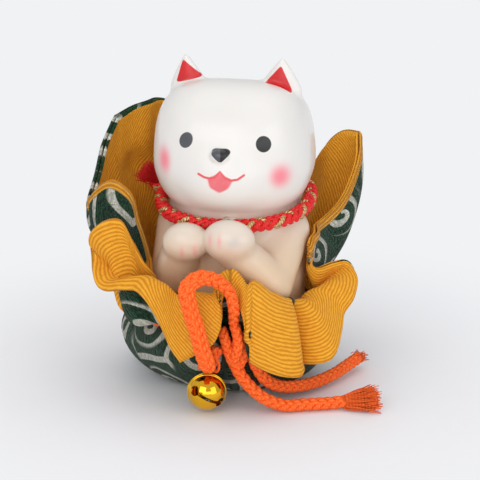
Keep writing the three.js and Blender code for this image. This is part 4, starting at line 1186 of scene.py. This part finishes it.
def yarn_material(name, dark, light, pitch, depth, roughness):
    """Filaments of one colour; strands numbered as gold thread are metallic gold instead."""
    made, g, shader = material(name)
    place = g.attribute("yarn", "Vector")
    yarn = g.group(shared("yarn", yarn_group), Yarn=place, Pitch=pitch)
    gold = g.math("GREATER_THAN", g.split(place)[2], GOLD_NUMBER - 0.5)
    # Painted shade and painted highlight: gold thread and dyed yarn are darker between the filaments and
    # lighter on them.
    thread = g.mix(yarn["Shade"], srgb(128, 74, 30), srgb(255, 222, 160))
    g.feed(shader.inputs["Base Color"], g.mix(gold, g.mix(yarn["Shade"], dark, light), thread))
    g.feed(shader.inputs["Metallic"], g.math("MULTIPLY", gold, 0.6))
    g.feed(shader.inputs["Normal"], g.bump(yarn["Height"], depth, 0.8))
    tune(shader, Roughness=roughness, Specular_IOR_Level=0.3)
    return made


def orange_yarn():
    """The orange cord's material, made once."""
    tints = bpy.context.scene.ornament_tints
    values = (tints.orange_shade, tints.orange, 0.9, 0.00008, 0.7)
    return bpy.data.materials.get("orange_yarn") or yarn_material("orange_yarn", *values)


def red_yarn():
    """The collar's material, made once."""
    tints = bpy.context.scene.ornament_tints
    values = (tints.red_shade, tints.red, 0.8, 0.00007, 0.42)
    return bpy.data.materials.get("red_yarn") or yarn_material("red_yarn", *values)


def metal_material(name, colour, roughness):
    """Bare metal, a little mottled in colour and polish."""
    made, g, shader = material(name)
    place = g.node("ShaderNodeTexCoord").outputs["Object"]
    patch = g.noise(place, 900, 3.0)
    darker = tuple(share * 0.8 for share in colour[:3]) + (1.0,)
    g.feed(shader.inputs["Base Color"], g.mix(g.math("MULTIPLY", patch, 0.3), colour, darker))
    g.feed(shader.inputs["Roughness"], g.band(patch, 0.3, 0.7, roughness, roughness + 0.08))
    g.feed(shader.inputs["Normal"], g.bump(g.noise(place, 260, 2.0), 0.00004, 0.5))
    tune(shader, Metallic=1.0)
    return made


def ceramic_material():
    """White glaze over painted eyes, nose, mouth, cheeks, ears and toes, plus painted shade and reflections.
    """
    made, g, shader = material("glazed_ceramic")
    tints = bpy.context.scene.ornament_tints
    place = g.node("ShaderNodeTexCoord").outputs["Object"]
    cloud = g.noise(place, 60, 3.0)
    stroke = g.noise(place, 500, 3.0)
    colour = g.mix(cloud, tints.glaze, srgb(234, 232, 228))
    # Painted shade and painted reflection of the ochre cloth: the glaze turns warmer and darker towards the
    # bottom of the dog.
    colour = g.mix(g.attribute("painted_cloth_bounce_and_shade"), colour, srgb(220, 190, 154))
    colour = g.mix(g.math("MULTIPLY", g.attribute("paint_grey"), 0.7), colour, srgb(172, 174, 182))
    colour = g.mix(g.attribute("paint_blush"), colour, tints.blush)
    red = g.mix(stroke, tints.ear_red, srgb(220, 8, 14))
    colour = g.mix(g.band(g.attribute("paint_ear"), -0.12, 0.12, 1, 0), colour, red)
    tongue = g.mix(stroke, srgb(226, 92, 102), srgb(236, 124, 130))
    colour = g.mix(g.attribute("paint_tongue"), colour, tongue)
    colour = g.mix(g.band(g.attribute("paint_line"), -0.1, 0.14, 1, 0), colour, srgb(226, 84, 88))
    black = g.band(g.attribute("paint_black"), -0.1, 0.1, 1, 0)
    # The left eye is black paint; its grey colour here is a painted reflection.
    left_eye_reflection = g.math("LESS_THAN", g.split(place)[0], -4 * MM)
    colour = g.mix(black, colour, g.mix(left_eye_reflection, srgb(20, 20, 22), srgb(76, 78, 84)))
    g.feed(shader.inputs["Base Color"], colour)
    g.feed(shader.inputs["Normal"], g.bump(g.noise(place, 90, 1.0), 0.00012, 0.35))
    tune(shader, Roughness=0.36, Specular_IOR_Level=0.42, Coat_Weight=0.4, Coat_Roughness=0.16)
    tune(shader, Subsurface_Weight=0.12, Subsurface_Radius=(1.0, 0.8, 0.6), Subsurface_Scale=0.0015)
    return made


def line_distance(p, points):
    """Distance in the plane of p from a line through the given points."""
    best = np.full(len(p), 1e9)
    for a, b in zip(points[:-1], points[1:]):
        a, b = np.array(a, float), np.array(b, float)
        share = np.clip(((p - a) @ (b - a)) / ((b - a) @ (b - a)), 0, 1)
        best = np.minimum(best, np.linalg.norm(p - a - share[:, None] * (b - a), axis=1))
    return best


def oval_distance(p, centre, radii, tilt=0.0):
    """Signed distance in the plane of p from a tilted oval."""
    c, s = math.cos(math.radians(tilt)), math.sin(math.radians(tilt))
    x, z = (p - np.array(centre)).T
    q = np.stack([(x * c + z * s) / radii[0], (-x * s + z * c) / radii[1]], 1)
    return (np.linalg.norm(q, axis=1) - 1) * min(radii)


def polygon_distance(p, corners, round_by):
    """Signed distance from a convex outline of corners given anticlockwise, rounded a little."""
    worst = np.full(len(p), -1e9)
    for a, b in zip(corners, corners[1:] + corners[:1]):
        a, b = np.array(a, float), np.array(b, float)
        out = np.array([b[1] - a[1], a[0] - b[0]]) / np.linalg.norm(b - a)
        side = (p - a) @ out
        worst = -blended(-worst, -side, round_by)
    return worst


def oval_blush(p, ovals, power=1.0):
    """How strong a soft blush is, 1 in the middle of an oval and falling off outside it."""
    shares = [(((p - np.array(centre)) / np.array(radii)) ** 2).sum(1) for centre, radii in ovals]
    return np.exp(-(np.min(shares, axis=0) ** power))


def paint_fields(points):
    """Where the dog is painted, in its own frame seen from the front: distances in mm, or amounts, 0 to 1."""
    front = points[:, 1] < 0
    hidden = np.where(front, 0, UNPAINTED)
    p = points[:, [0, 2]]
    eyes = np.minimum(oval_distance(p, *LEFT_EYE), oval_distance(p, *RIGHT_EYE))
    mouth = np.minimum(line_distance(p, MOUTH_LEFT), line_distance(p, MOUTH_RIGHT))
    on_ear = (points[:, 1] < EAR_BACK + 0.6) & (points[:, 1] > EAR_BACK - 0.75 * EAR_DEPTH)
    ears = np.minimum(*(polygon_distance(p, corners, 0.9) for corners in EAR_PAINT))
    return {
        "paint_black": np.minimum(eyes, polygon_distance(p, NOSE, 0.9)) + hidden,
        "paint_line": mouth - MOUTH_LINE_WIDTH / 2 + hidden,
        "paint_tongue": smooth(-(polygon_distance(p, TONGUE, 0.6) + hidden), -0.15, 0.5),
        "paint_ear": ears + np.where(on_ear, 0, UNPAINTED),
        "paint_blush": np.maximum(oval_blush(p, CHEEKS, 1.4), 0.5 * oval_blush(p, TOES)) * front,
        "paint_grey": 0.5 * oval_blush(p, [GREY_BRUSH]) * front,
        # Not paint on the object: painted shade and painted reflection of the cloth, growing towards the
        # bottom of the dog.
        "painted_cloth_bounce_and_shade": 0.9 * smooth(-p[:, 1], -66, -34) * front,
    }


def finish_piece(piece, body, node, made):
    """Material, body, slot and replaced CAD node of one piece."""
    piece.data.materials.append(made)
    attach(piece, body)
    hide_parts(node)


def box_centre(node):
    """The middle of a CAD node's box, in mm."""
    low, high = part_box(node)
    return (np.array(low) + np.array(high)) / 2 / MM


def frill_top(column, tie_row):
    """Widest radius of a column of the cloth beside the tie cord."""
    beside = column[tie_row:]
    beside = beside[: max(2, int(np.argmax(beside[:, 2] > TIE_CORD_HEIGHT + CORD_WIDTH / 2)))]
    return np.hypot(beside[:, 0], beside[:, 1]).max()


def tie_route(grid, tie_row, count=64):
    """The tie cord's line, outside the cloth, from one side of the knot round to the other."""
    lift = CLOTH_THICKNESS / 2 + CORD_TO_CLOTH + CORD_WIDTH / 2
    picked = grid[:: max(1, len(grid) // count)]
    low = picked[:, tie_row]
    away = np.array([frill_top(column, tie_row) for column in picked])
    for _ in range(2):
        away = np.maximum(away, (np.roll(away, 1) + away + np.roll(away, -1)) / 3)
    direction = unit(low * np.array([1, 1, 0]))
    points = direction * (away + lift)[:, None] + np.array([0, 0, TIE_CORD_HEIGHT])
    angle = np.arctan2(points[:, 0] - KNOT_CENTRE[0], -points[:, 1]) % (2 * math.pi)
    points = points[np.argsort(angle)]
    kept = (points[:, 1] > 0) | (np.abs(points[:, 0] - KNOT_CENTRE[0]) > KNOT_WIDTH / 2 + CORD_WIDTH / 2)
    return points[kept]


def bell_frame():
    """The bell's centre, which its pellet lies below, and its turn: its mouth is along +Z."""
    pellet_drop = BELL_RADIUS - BELL_WALL - PELLET_RADIUS - RUNNING_GAP
    centre = box_centre("bell_pellet") + np.array([0, 0, pellet_drop])
    mouth = Vector(MOUTH_DIRECTION).normalized()
    across = Vector(SLOT_DIRECTION).cross(mouth).normalized()
    along = mouth.cross(across).normalized()
    turn = Matrix((along, -across, mouth)).transposed().to_4x4()
    return Matrix.Translation(Vector(centre) * MM) @ turn


def arc(radius, start, end, steps):
    """Points of a lathe profile on an arc about the middle."""
    angle = np.linspace(start, end, steps)
    return np.stack([radius * np.sin(angle), radius * np.cos(angle)], 1)


def half_shell(name, hole):
    """One half of the bell as a lathe profile: outside, rolled lip at the seam, inside."""
    segments = 112
    inner = BELL_RADIUS - BELL_WALL
    seam = SEAM_GAP / 2
    lip_turn = np.linspace(math.pi / 2, -math.pi / 2, 9)
    lip = np.stack([
        BELL_RADIUS + BELL_SEAM_WIDTH / 2 * np.cos(lip_turn),
        seam + BELL_SEAM_WIDTH / 2 + BELL_SEAM_WIDTH / 2 * np.sin(lip_turn),
    ], 1)
    above_lip = math.acos((seam + BELL_SEAM_WIDTH) / BELL_RADIUS)
    outside = arc(BELL_RADIUS, math.asin(hole / BELL_RADIUS), above_lip, 24)
    inside = arc(inner, math.acos(seam / inner), math.asin(hole / inner), 24)
    profile = np.vstack([outside, lip, inside])
    turn = 2 * math.pi * np.arange(segments) / segments
    rings = np.stack([
        profile[:, 0] * np.cos(turn)[:, None],
        profile[:, 0] * np.sin(turn)[:, None],
        np.broadcast_to(profile[:, 1], (segments, len(profile))),
    ], -1)
    rows = len(profile)
    row = np.arange(rows if hole > NO_HOLE else rows - 1)
    following = (row + 1) % rows
    column = rows * np.arange(segments)[:, None]
    neighbour = np.roll(column, -1, 0)
    corners = [column + row, column + following, neighbour + following, neighbour + row]
    return mesh_object(name, rings.reshape(-1, 3), np.stack(corners, -1).reshape(-1, 4).tolist())


def weld(piece):
    """Joins points that lie together and turns all faces outwards."""
    distance = 1e-6
    work = bmesh.new()
    work.from_mesh(piece.data)
    bmesh.ops.remove_doubles(work, verts=work.verts, dist=distance)
    bmesh.ops.dissolve_degenerate(work, edges=work.edges, dist=distance)
    bmesh.ops.recalc_face_normals(work, faces=work.faces)
    work.to_mesh(piece.data)
    work.free()


def cut(piece, cutter):
    """Takes the cutter's shape out of the piece and removes the cutter."""
    modifier = piece.modifiers.new("cut", "BOOLEAN")
    modifier.operation = "DIFFERENCE"
    modifier.solver = "EXACT"
    modifier.object = cutter
    bpy.context.view_layer.update()
    result = bpy.data.meshes.new_from_object(piece.evaluated_get(bpy.context.evaluated_depsgraph_get()))
    piece.modifiers.clear()
    old, piece.data = piece.data, result
    bpy.data.meshes.remove(old)
    bpy.data.objects.remove(cutter)


def solid_block(size, centre):
    """A block of the given sides."""
    bpy.ops.mesh.primitive_cube_add(size=1)
    made = bpy.context.object
    made.data.transform(Matrix.Diagonal((*(side * MM for side in size), 1)))
    made.data.transform(Matrix.Translation(Vector(centre) * MM))
    return made


def solid_rod(radius, depth, lift, turn):
    """An upright rod, lifted and then turned about the Y axis."""
    bpy.ops.mesh.primitive_cylinder_add(vertices=48, radius=radius * MM, depth=depth * MM)
    made = bpy.context.object
    made.data.transform(Matrix.Rotation(turn, 4, "Y") @ Matrix.Translation((0, 0, lift * MM)))
    return made


def length_prop(name, description, millimetres):
    """A length property, its default given in millimetres."""
    return bpy.props.FloatProperty(
        name=name, description=description, default=millimetres * MM, min=0.1 * MM,
        precision=5, unit="LENGTH")


def tint(name, description, *shown):
    """A colour property, its default given as seen on a screen."""
    return bpy.props.FloatVectorProperty(
        name=name, description=description, default=srgb(*shown), size=4, min=0, max=1, subtype="COLOR")


class OrnamentSizes(bpy.types.PropertyGroup):
    """Sizes of what is drawn on and round the pieces; the pieces themselves keep the frame's sizes"""

    braid_pitch: length_prop("Braid pitch", "Length of one turn of a strand of the orange cord", 9.6)
    collar_pitch: length_prop("Collar pitch", "Length of one turn of a strand of the collar", 9.2)
    front_fray: length_prop("Front fray", "How far the front tail's fibres stand out of its end", 8.6)
    back_fray: length_prop("Back fray", "How far the back tail's fibres stand out of its end", 2.6)
    dog_voxel: length_prop("Dog detail", "Size of the cells that the dog's skin is made of", 0.42)
    loop_width: bpy.props.FloatProperty(
        name="Loop width", description="Width of the loop's left leg, in widths of the cord",
        default=1.5, min=0.5, max=2, subtype="FACTOR")
    cloth_detail: bpy.props.FloatProperty(
        name="Cloth detail", description="How fine the mesh of the cloth is",
        default=1, min=0.2, max=2, subtype="FACTOR")


class OrnamentTints(bpy.types.PropertyGroup):
    """Colours of the glaze, the paint, the two crepes, the cords and the bell"""

    glaze: tint("Glaze", "White glaze of the dog", 229, 226, 221)
    blush: tint("Blush", "Cheeks and toes", 244, 140, 152)
    ear_red: tint("Ear red", "Paint inside the ears", 196, 0, 6)
    # The colour of the painted shade in the hollows between the green crepe's pebbles.
    crepe_hollow_shade: tint("Green hollows", "Outside of the cloth, between its pebbles", 5, 30, 17)
    crepe_top: tint("Green", "Outside of the cloth, on its pebbles", 20, 80, 46)
    vine: tint("Vines", "Printed vines", 226, 226, 214)
    # The colour of the painted shade in the grooves between the lining's ribs.
    lining_groove_shade: tint("Ochre grooves", "Lining, between its ribs", 204, 128, 20)
    lining_rib: tint("Ochre", "Lining, on its ribs", 234, 166, 46)
    orange_shade: tint("Orange shade", "Orange cord, between its filaments", 250, 84, 18)
    orange: tint("Orange", "Orange cord, on its filaments", 255, 128, 52)
    red_shade: tint("Red shade", "Collar, between its filaments", 208, 20, 24)
    red: tint("Red", "Collar, on its filaments", 248, 52, 50)
    gold: tint("Gold", "Gilt of the bell", 240, 184, 44)


class ORNAMENT_OT_camera(bpy.types.Operator):
    """Places the camera where the ornament is seen from"""

    bl_idname = "ornament.camera"
    bl_label = "Camera"

    def execute(self, context):
        data = bpy.data.cameras.new("camera")
        data.lens = CAMERA_LENS
        data.sensor_width = 36
        data.clip_end = 20
        made = bpy.data.objects.new("camera", data)
        made.location = [v * MM for v in CAMERA_PLACE]
        made.rotation_euler = (math.radians(90 - CAMERA_PITCH), 0, 0)
        context.scene.collection.objects.link(made)
        context.scene.camera = made
        return {"FINISHED"}


class ORNAMENT_OT_cords(bpy.types.Operator):
    """Braids the orange cord: the loop of its bow, its two tails and its knot"""

    bl_idname = "ornament.cords"
    bl_label = "Orange cord"

    def execute(self, context):
        sizes = context.scene.ornament_sizes
        pitch = sizes.braid_pitch / MM
        orange = orange_yarn()
        wide = ((0, 0.2, 0.36, 0.8, 0.9, 1), (0.85, 0.95, sizes.loop_width, sizes.loop_width, 1, 1))
        loop, line, length = braid("bow_loop_braid", LOOP_ROUTE, CORD_WIDTH, LOOP_FACING, pitch, flatten=wide)
        finish_piece(loop, "figurine", "bow_loop", orange)

        # Each tail: its route, how far its fray reaches, how wide and thick that is, and its fibres.
        tails = (
            ("tail_front", FRONT_TAIL_ROUTE, sizes.front_fray / MM, 9.5, 6.5, 520),
            ("tail_back", BACK_TAIL_ROUTE, sizes.back_fray / MM, 4.0, 3.4, 110),
        )
        inside = 0.8
        for name, route, reach, tip_wide, tip_thick, count in tails:
            tail, line, length = braid(name + "_braid", route, CORD_WIDTH, TAIL_FACING, pitch)
            finish_piece(tail, "figurine", name, orange)
            end = unit(np.array(route[-1], float) - np.array(route[-2], float))
            root = np.array(route[-1]) - end * inside
            fray = brush(name + "_brush", root, end, reach + inside, CORD_WIDTH * 0.85, tip_wide, tip_thick,
                         count, FIBRE_WIDTH, floor=0.35)
            finish_piece(fray, "figurine", name + "_fray", orange)

        parts = []
        for route in KNOT_ROUTES:
            parts += braid_parts(route, KNOT_BRAID_WIDTH, (0, -1, 0.1), pitch * 0.8)[0]
        finish_piece(yarn_object("bow_knot_braid", parts), "figurine", "bow_knot", orange)
        return {"FINISHED"}


class ORNAMENT_OT_cloth(bpy.types.Operator):
    """Gathers the wrapping cloth round the dog, green outside and ochre inside, and ties the cord round it"""

    bl_idname = "ornament.cloth"
    bl_label = "Wrapping cloth"

    def execute(self, context):
        sizes = context.scene.ornament_sizes
        fineness = sizes.cloth_detail * 1
        grid, weave, prints, roll, azimuths = cloth_grid(fineness)
        tie_row = FLAT_ROWS - 1 + 2 * arc_rows(fineness)
        grid = pleated(grid, azimuths, tie_row)
        sheet = (grid, grid_normals(grid), weave, prints, roll)
        face = LAYER_GAP / 2
        outer = cloth_layer("cloth_outer", *sheet, face + OUTER_THICKNESS, face)
        lining = cloth_layer("cloth_lining", *sheet, -face, -face - LINING_THICKNESS)
        finish_piece(outer, "figurine", "wrap_outer", outer_material())
        finish_piece(lining, "figurine", "wrap_lining", lining_material())
        parts = braid_parts(tie_route(grid, tie_row), CORD_WIDTH, (0, 0, 1), sizes.braid_pitch / MM)[0]
        tie = yarn_object("tie_cord_braid", parts)
        finish_piece(tie, "figurine", "tie_cord", orange_yarn())
        return {"FINISHED"}


class ORNAMENT_OT_dog(bpy.types.Operator):
    """Models the glazed casting and paints its face, ears and toes"""

    bl_idname = "ornament.dog"
    bl_label = "Ceramic dog"

    def execute(self, context):
        voxel = context.scene.ornament_sizes.dog_voxel / MM * 1
        points, faces = casting_mesh(7, voxel)
        dog = mesh_object("dog", points, faces, paint_fields(points))
        dog.data.transform(Matrix.Rotation(DOG_TURN, 4, "Z"))
        finish_piece(dog, "figurine", "dog_casting", ceramic_material())
        return {"FINISHED"}


class ORNAMENT_OT_collar(bpy.types.Operator):
    """Braids the red collar, its knot and its cut ends"""

    bl_idname = "ornament.collar"
    bl_label = "Collar"

    def execute(self, context):
        pitch = context.scene.ornament_sizes.collar_pitch / MM
        knot = collar_knot_point()
        half_gap = math.asin((COLLAR_KNOT_WIDTH / 2) / (NECK_WIDTH / 2 + COLLAR_WIDTH / 2))
        first = COLLAR_KNOT_ANGLE + half_gap
        last = COLLAR_KNOT_ANGLE + 2 * math.pi - half_gap
        lift = COLLAR_WIDTH / 2 + COLLAR_TO_NECK
        route = [collar_point(angle, lift) for angle in np.linspace(first, last, 41)]
        ring, _, _ = braid("collar_braid", route, COLLAR_WIDTH, (0, -0.6, 1), pitch, gold=(0,), plump=0.9)
        ball = yarn_object("collar_knot_braid", self.knot_wraps(knot, pitch * 0.7))
        end = unit(np.array(TUFT_DIRECTION))
        inside = 1.4
        root = knot + end * (COLLAR_KNOT_WIDTH / 2 - inside)
        tuft = brush("collar_tuft_brush", root, end, TUFT_LENGTH + inside, COLLAR_WIDTH * 0.8,
                     TUFT_WIDTH * 0.9, TUFT_WIDTH * 0.9, TUFT_FIBRES, TUFT_FIBRE_WIDTH)
        for piece, node in ((ring, "collar_cord"), (ball, "collar_knot"), (tuft, "collar_tuft")):
            piece.data.transform(Matrix.Rotation(DOG_TURN, 4, "Z"))
            finish_piece(piece, "figurine", node, red_yarn())
        return {"FINISHED"}

    def knot_wraps(self, knot, pitch):
        """Three turns of braid round the knot, each tilted further than the last."""
        inset = 1.3
        radius = COLLAR_KNOT_WIDTH / 2 - inset
        turn = np.linspace(0, 2 * math.pi, 13)
        parts = []
        for tilt in (-0.6, 0.1, 0.8):
            loop = np.stack([
                radius * np.cos(turn) * math.cos(tilt) + inset * math.sin(3 * tilt),
                radius * np.sin(turn),
                radius * np.cos(turn) * math.sin(tilt) + tilt,
            ], 1)
            parts += braid_parts(knot + loop, 2.8, (0.3, 0.2, 1), pitch, gold=(0,))[0]
        return parts


class ORNAMENT_OT_bell(bpy.types.Operator):
    """Turns the two halves of the jingle bell and ties it on"""

    bl_idname = "ornament.bell"
    bl_label = "Jingle bell"

    def execute(self, context):
        place = bell_frame()
        gold = metal_material("bell_gold", tuple(context.scene.ornament_tints.gold), 0.06)
        steel = metal_material("pellet_steel", srgb(150, 150, 150), 0.35)
        upper = half_shell("bell_upper", EYE_HOLE_RADIUS)
        upper.data.transform(Matrix.Rotation(math.pi, 4, "X"))
        lower = half_shell("bell_lower", NO_HOLE)
        weld(upper)
        weld(lower)
        slot = (2 * BELL_RADIUS * math.sin(SLOT_HALF_ANGLE), SLOT_WIDTH, BELL_RADIUS)
        cut(lower, solid_block(slot, (0, 0, BELL_RADIUS * 0.85)))
        for end in (-1, 1):
            cut(lower, solid_rod(SLOT_HOLE_WIDTH / 2, 4, BELL_RADIUS, end * SLOT_HALF_ANGLE))
        for half, node in ((upper, "bell_upper_shell"), (lower, "bell_lower_shell")):
            half.data.transform(place)
            finish_piece(half, "bell", node, gold)
            half.data.polygons.foreach_set("use_smooth", [True] * len(half.data.polygons))
            half.data.set_sharp_from_angle(angle=math.radians(35))
        for node, metal in (("bell_eye", gold), ("bell_pellet", steel)):
            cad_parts[node].data.materials.clear()
            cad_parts[node].data.materials.append(metal)
        self.tie(place)
        return {"FINISHED"}

    def tie(self, place):
        """The thread from the foot of the bow over the bell to its eye, with its end knot."""
        eye = np.array(place @ Vector((0, 0, -(BELL_RADIUS + EYE_BORE / 2 - 0.05) * MM))) / MM
        ring = CORD_WIDTH / 2 + RUNNING_GAP + THREAD_WIDTH / 2
        route = []
        for degrees in (200, 165, 130, 90, 50, 15, -15):
            angle = math.radians(degrees)
            route.append(BOW_FOOT + ring * np.array([math.cos(angle), 0, math.sin(angle)]))
        route += [(-5.2, -37, 12.7), (-6.2, -34.2, 12.7), (-7.4, -31.2, 11.2)]
        route += [eye + (0, -0.1, 1.8), eye, eye + (0, 0.4, -1), eye + (0.3, 0.9, -1.6)]
        thread = twisted("bell_thread_twist", route, THREAD_WIDTH, 3, 2.2)
        finish_piece(thread, "hanger", "bell_thread", orange_yarn())


class ORNAMENT_OT_stage(bpy.types.Operator):
    """Lays the pale floor and hangs the soft studio lights"""

    bl_idname = "ornament.stage"
    bl_label = "Stage"

    def execute(self, context):
        half = FLOOR_SIDE / 2 / MM
        corners = [(-half, -half, 0), (half, -half, 0), (half, half, 0), (-half, half, 0)]
        floor = mesh_object("floor", corners, [[0, 1, 2, 3]])
        floor.data.materials.append(self.paper())
        for name, place, size, power, colour in LIGHTS:
            data = bpy.data.lights.new(name, "AREA")
            data.shape = "RECTANGLE"
            data.size, data.size_y = size
            data.energy = power
            data.color = colour
            lamp = bpy.data.objects.new(name, data)
            lamp.location = place
            aim = Vector((0, 0, LIGHTS_AIM)) - Vector(place)
            lamp.rotation_euler = aim.to_track_quat("-Z", "Y").to_euler()
            context.scene.collection.objects.link(lamp)
        self.sky(context.scene)
        context.scene.view_settings.view_transform = "Standard"
        return {"FINISHED"}

    def paper(self):
        """Pale paper that glows away from the ornament, as a lit sweep of paper does."""
        made, g, shader = material("floor_paper")
        place = g.node("ShaderNodeTexCoord").outputs["Object"]
        colour = g.mix(g.noise(place, 40, 2.0), srgb(238, 239, 242), srgb(243, 243, 245))
        g.feed(shader.inputs["Base Color"], colour)
        tune(shader, Roughness=0.6, Specular_IOR_Level=0.2)
        glow = g.node("ShaderNodeEmission")
        glow.inputs["Color"].default_value = srgb(241, 242, 244)
        seen = g.node("ShaderNodeLightPath")
        rays = g.math("MAXIMUM", seen.outputs["Is Camera Ray"], seen.outputs["Is Glossy Ray"])
        far = g.band(g.vector("LENGTH", place), *GLOW_FROM_TO)
        blend = g.node("ShaderNodeMixShader")
        g.feed(blend.inputs[0], g.math("MULTIPLY", far, rays))
        g.feed(blend.inputs[1], shader.outputs[0])
        g.feed(blend.inputs[2], glow.outputs[0])
        g.feed(made.node_tree.nodes["Material Output"].inputs["Surface"], blend.outputs[0])
        return made

    def sky(self, scene):
        """A pale studio, a little lighter above."""
        scene.world = bpy.data.worlds.new("studio")
        scene.world.use_nodes = True
        w = Graph(scene.world.node_tree)
        sky = next(n for n in scene.world.node_tree.nodes if n.type == "BACKGROUND")
        up = w.split(w.node("ShaderNodeTexCoord").outputs["Generated"])[2]
        colour = w.mix(w.band(up, -0.1, 0.7), srgb(230, 231, 236), srgb(250, 250, 252))
        w.feed(sky.inputs["Color"], colour)
        sky.inputs["Strength"].default_value = WORLD_STRENGTH


OPERATORS = (
    ORNAMENT_OT_camera,
    ORNAMENT_OT_cords,
    ORNAMENT_OT_cloth,
    ORNAMENT_OT_dog,
    ORNAMENT_OT_collar,
    ORNAMENT_OT_bell,
    ORNAMENT_OT_stage,
)


class ORNAMENT_PT_panel(bpy.types.Panel):
    """Lists the ornament's sizes, colours and pieces"""

    bl_idname = "ORNAMENT_PT_panel"
    bl_label = "Wrapped dog ornament"
    bl_space_type = "VIEW_3D"
    bl_region_type = "UI"
    bl_category = "Ornament"

    def draw(self, context):
        groups = (context.scene.ornament_sizes, OrnamentSizes), (context.scene.ornament_tints, OrnamentTints)
        for values, group in groups:
            for name in group.__annotations__:
                self.layout.prop(values, name)
        for operator in OPERATORS:
            self.layout.operator(operator.bl_idname)


CLASSES = (OrnamentSizes, OrnamentTints, *OPERATORS, ORNAMENT_PT_panel)


def register():
    for one in CLASSES:
        bpy.utils.register_class(one)
    bpy.types.Scene.ornament_sizes = bpy.props.PointerProperty(type=OrnamentSizes)
    bpy.types.Scene.ornament_tints = bpy.props.PointerProperty(type=OrnamentTints)


def unregister():
    del bpy.types.Scene.ornament_sizes
    del bpy.types.Scene.ornament_tints
    for one in reversed(CLASSES):
        bpy.utils.unregister_class(one)


def main():
    register()
    bpy.ops.ornament.camera()
    bpy.ops.ornament.cords()
    bpy.ops.ornament.cloth()
    bpy.ops.ornament.dog()
    bpy.ops.ornament.collar()
    bpy.ops.ornament.bell()
    bpy.ops.ornament.stage()


if __name__ == "__main__":
    main()
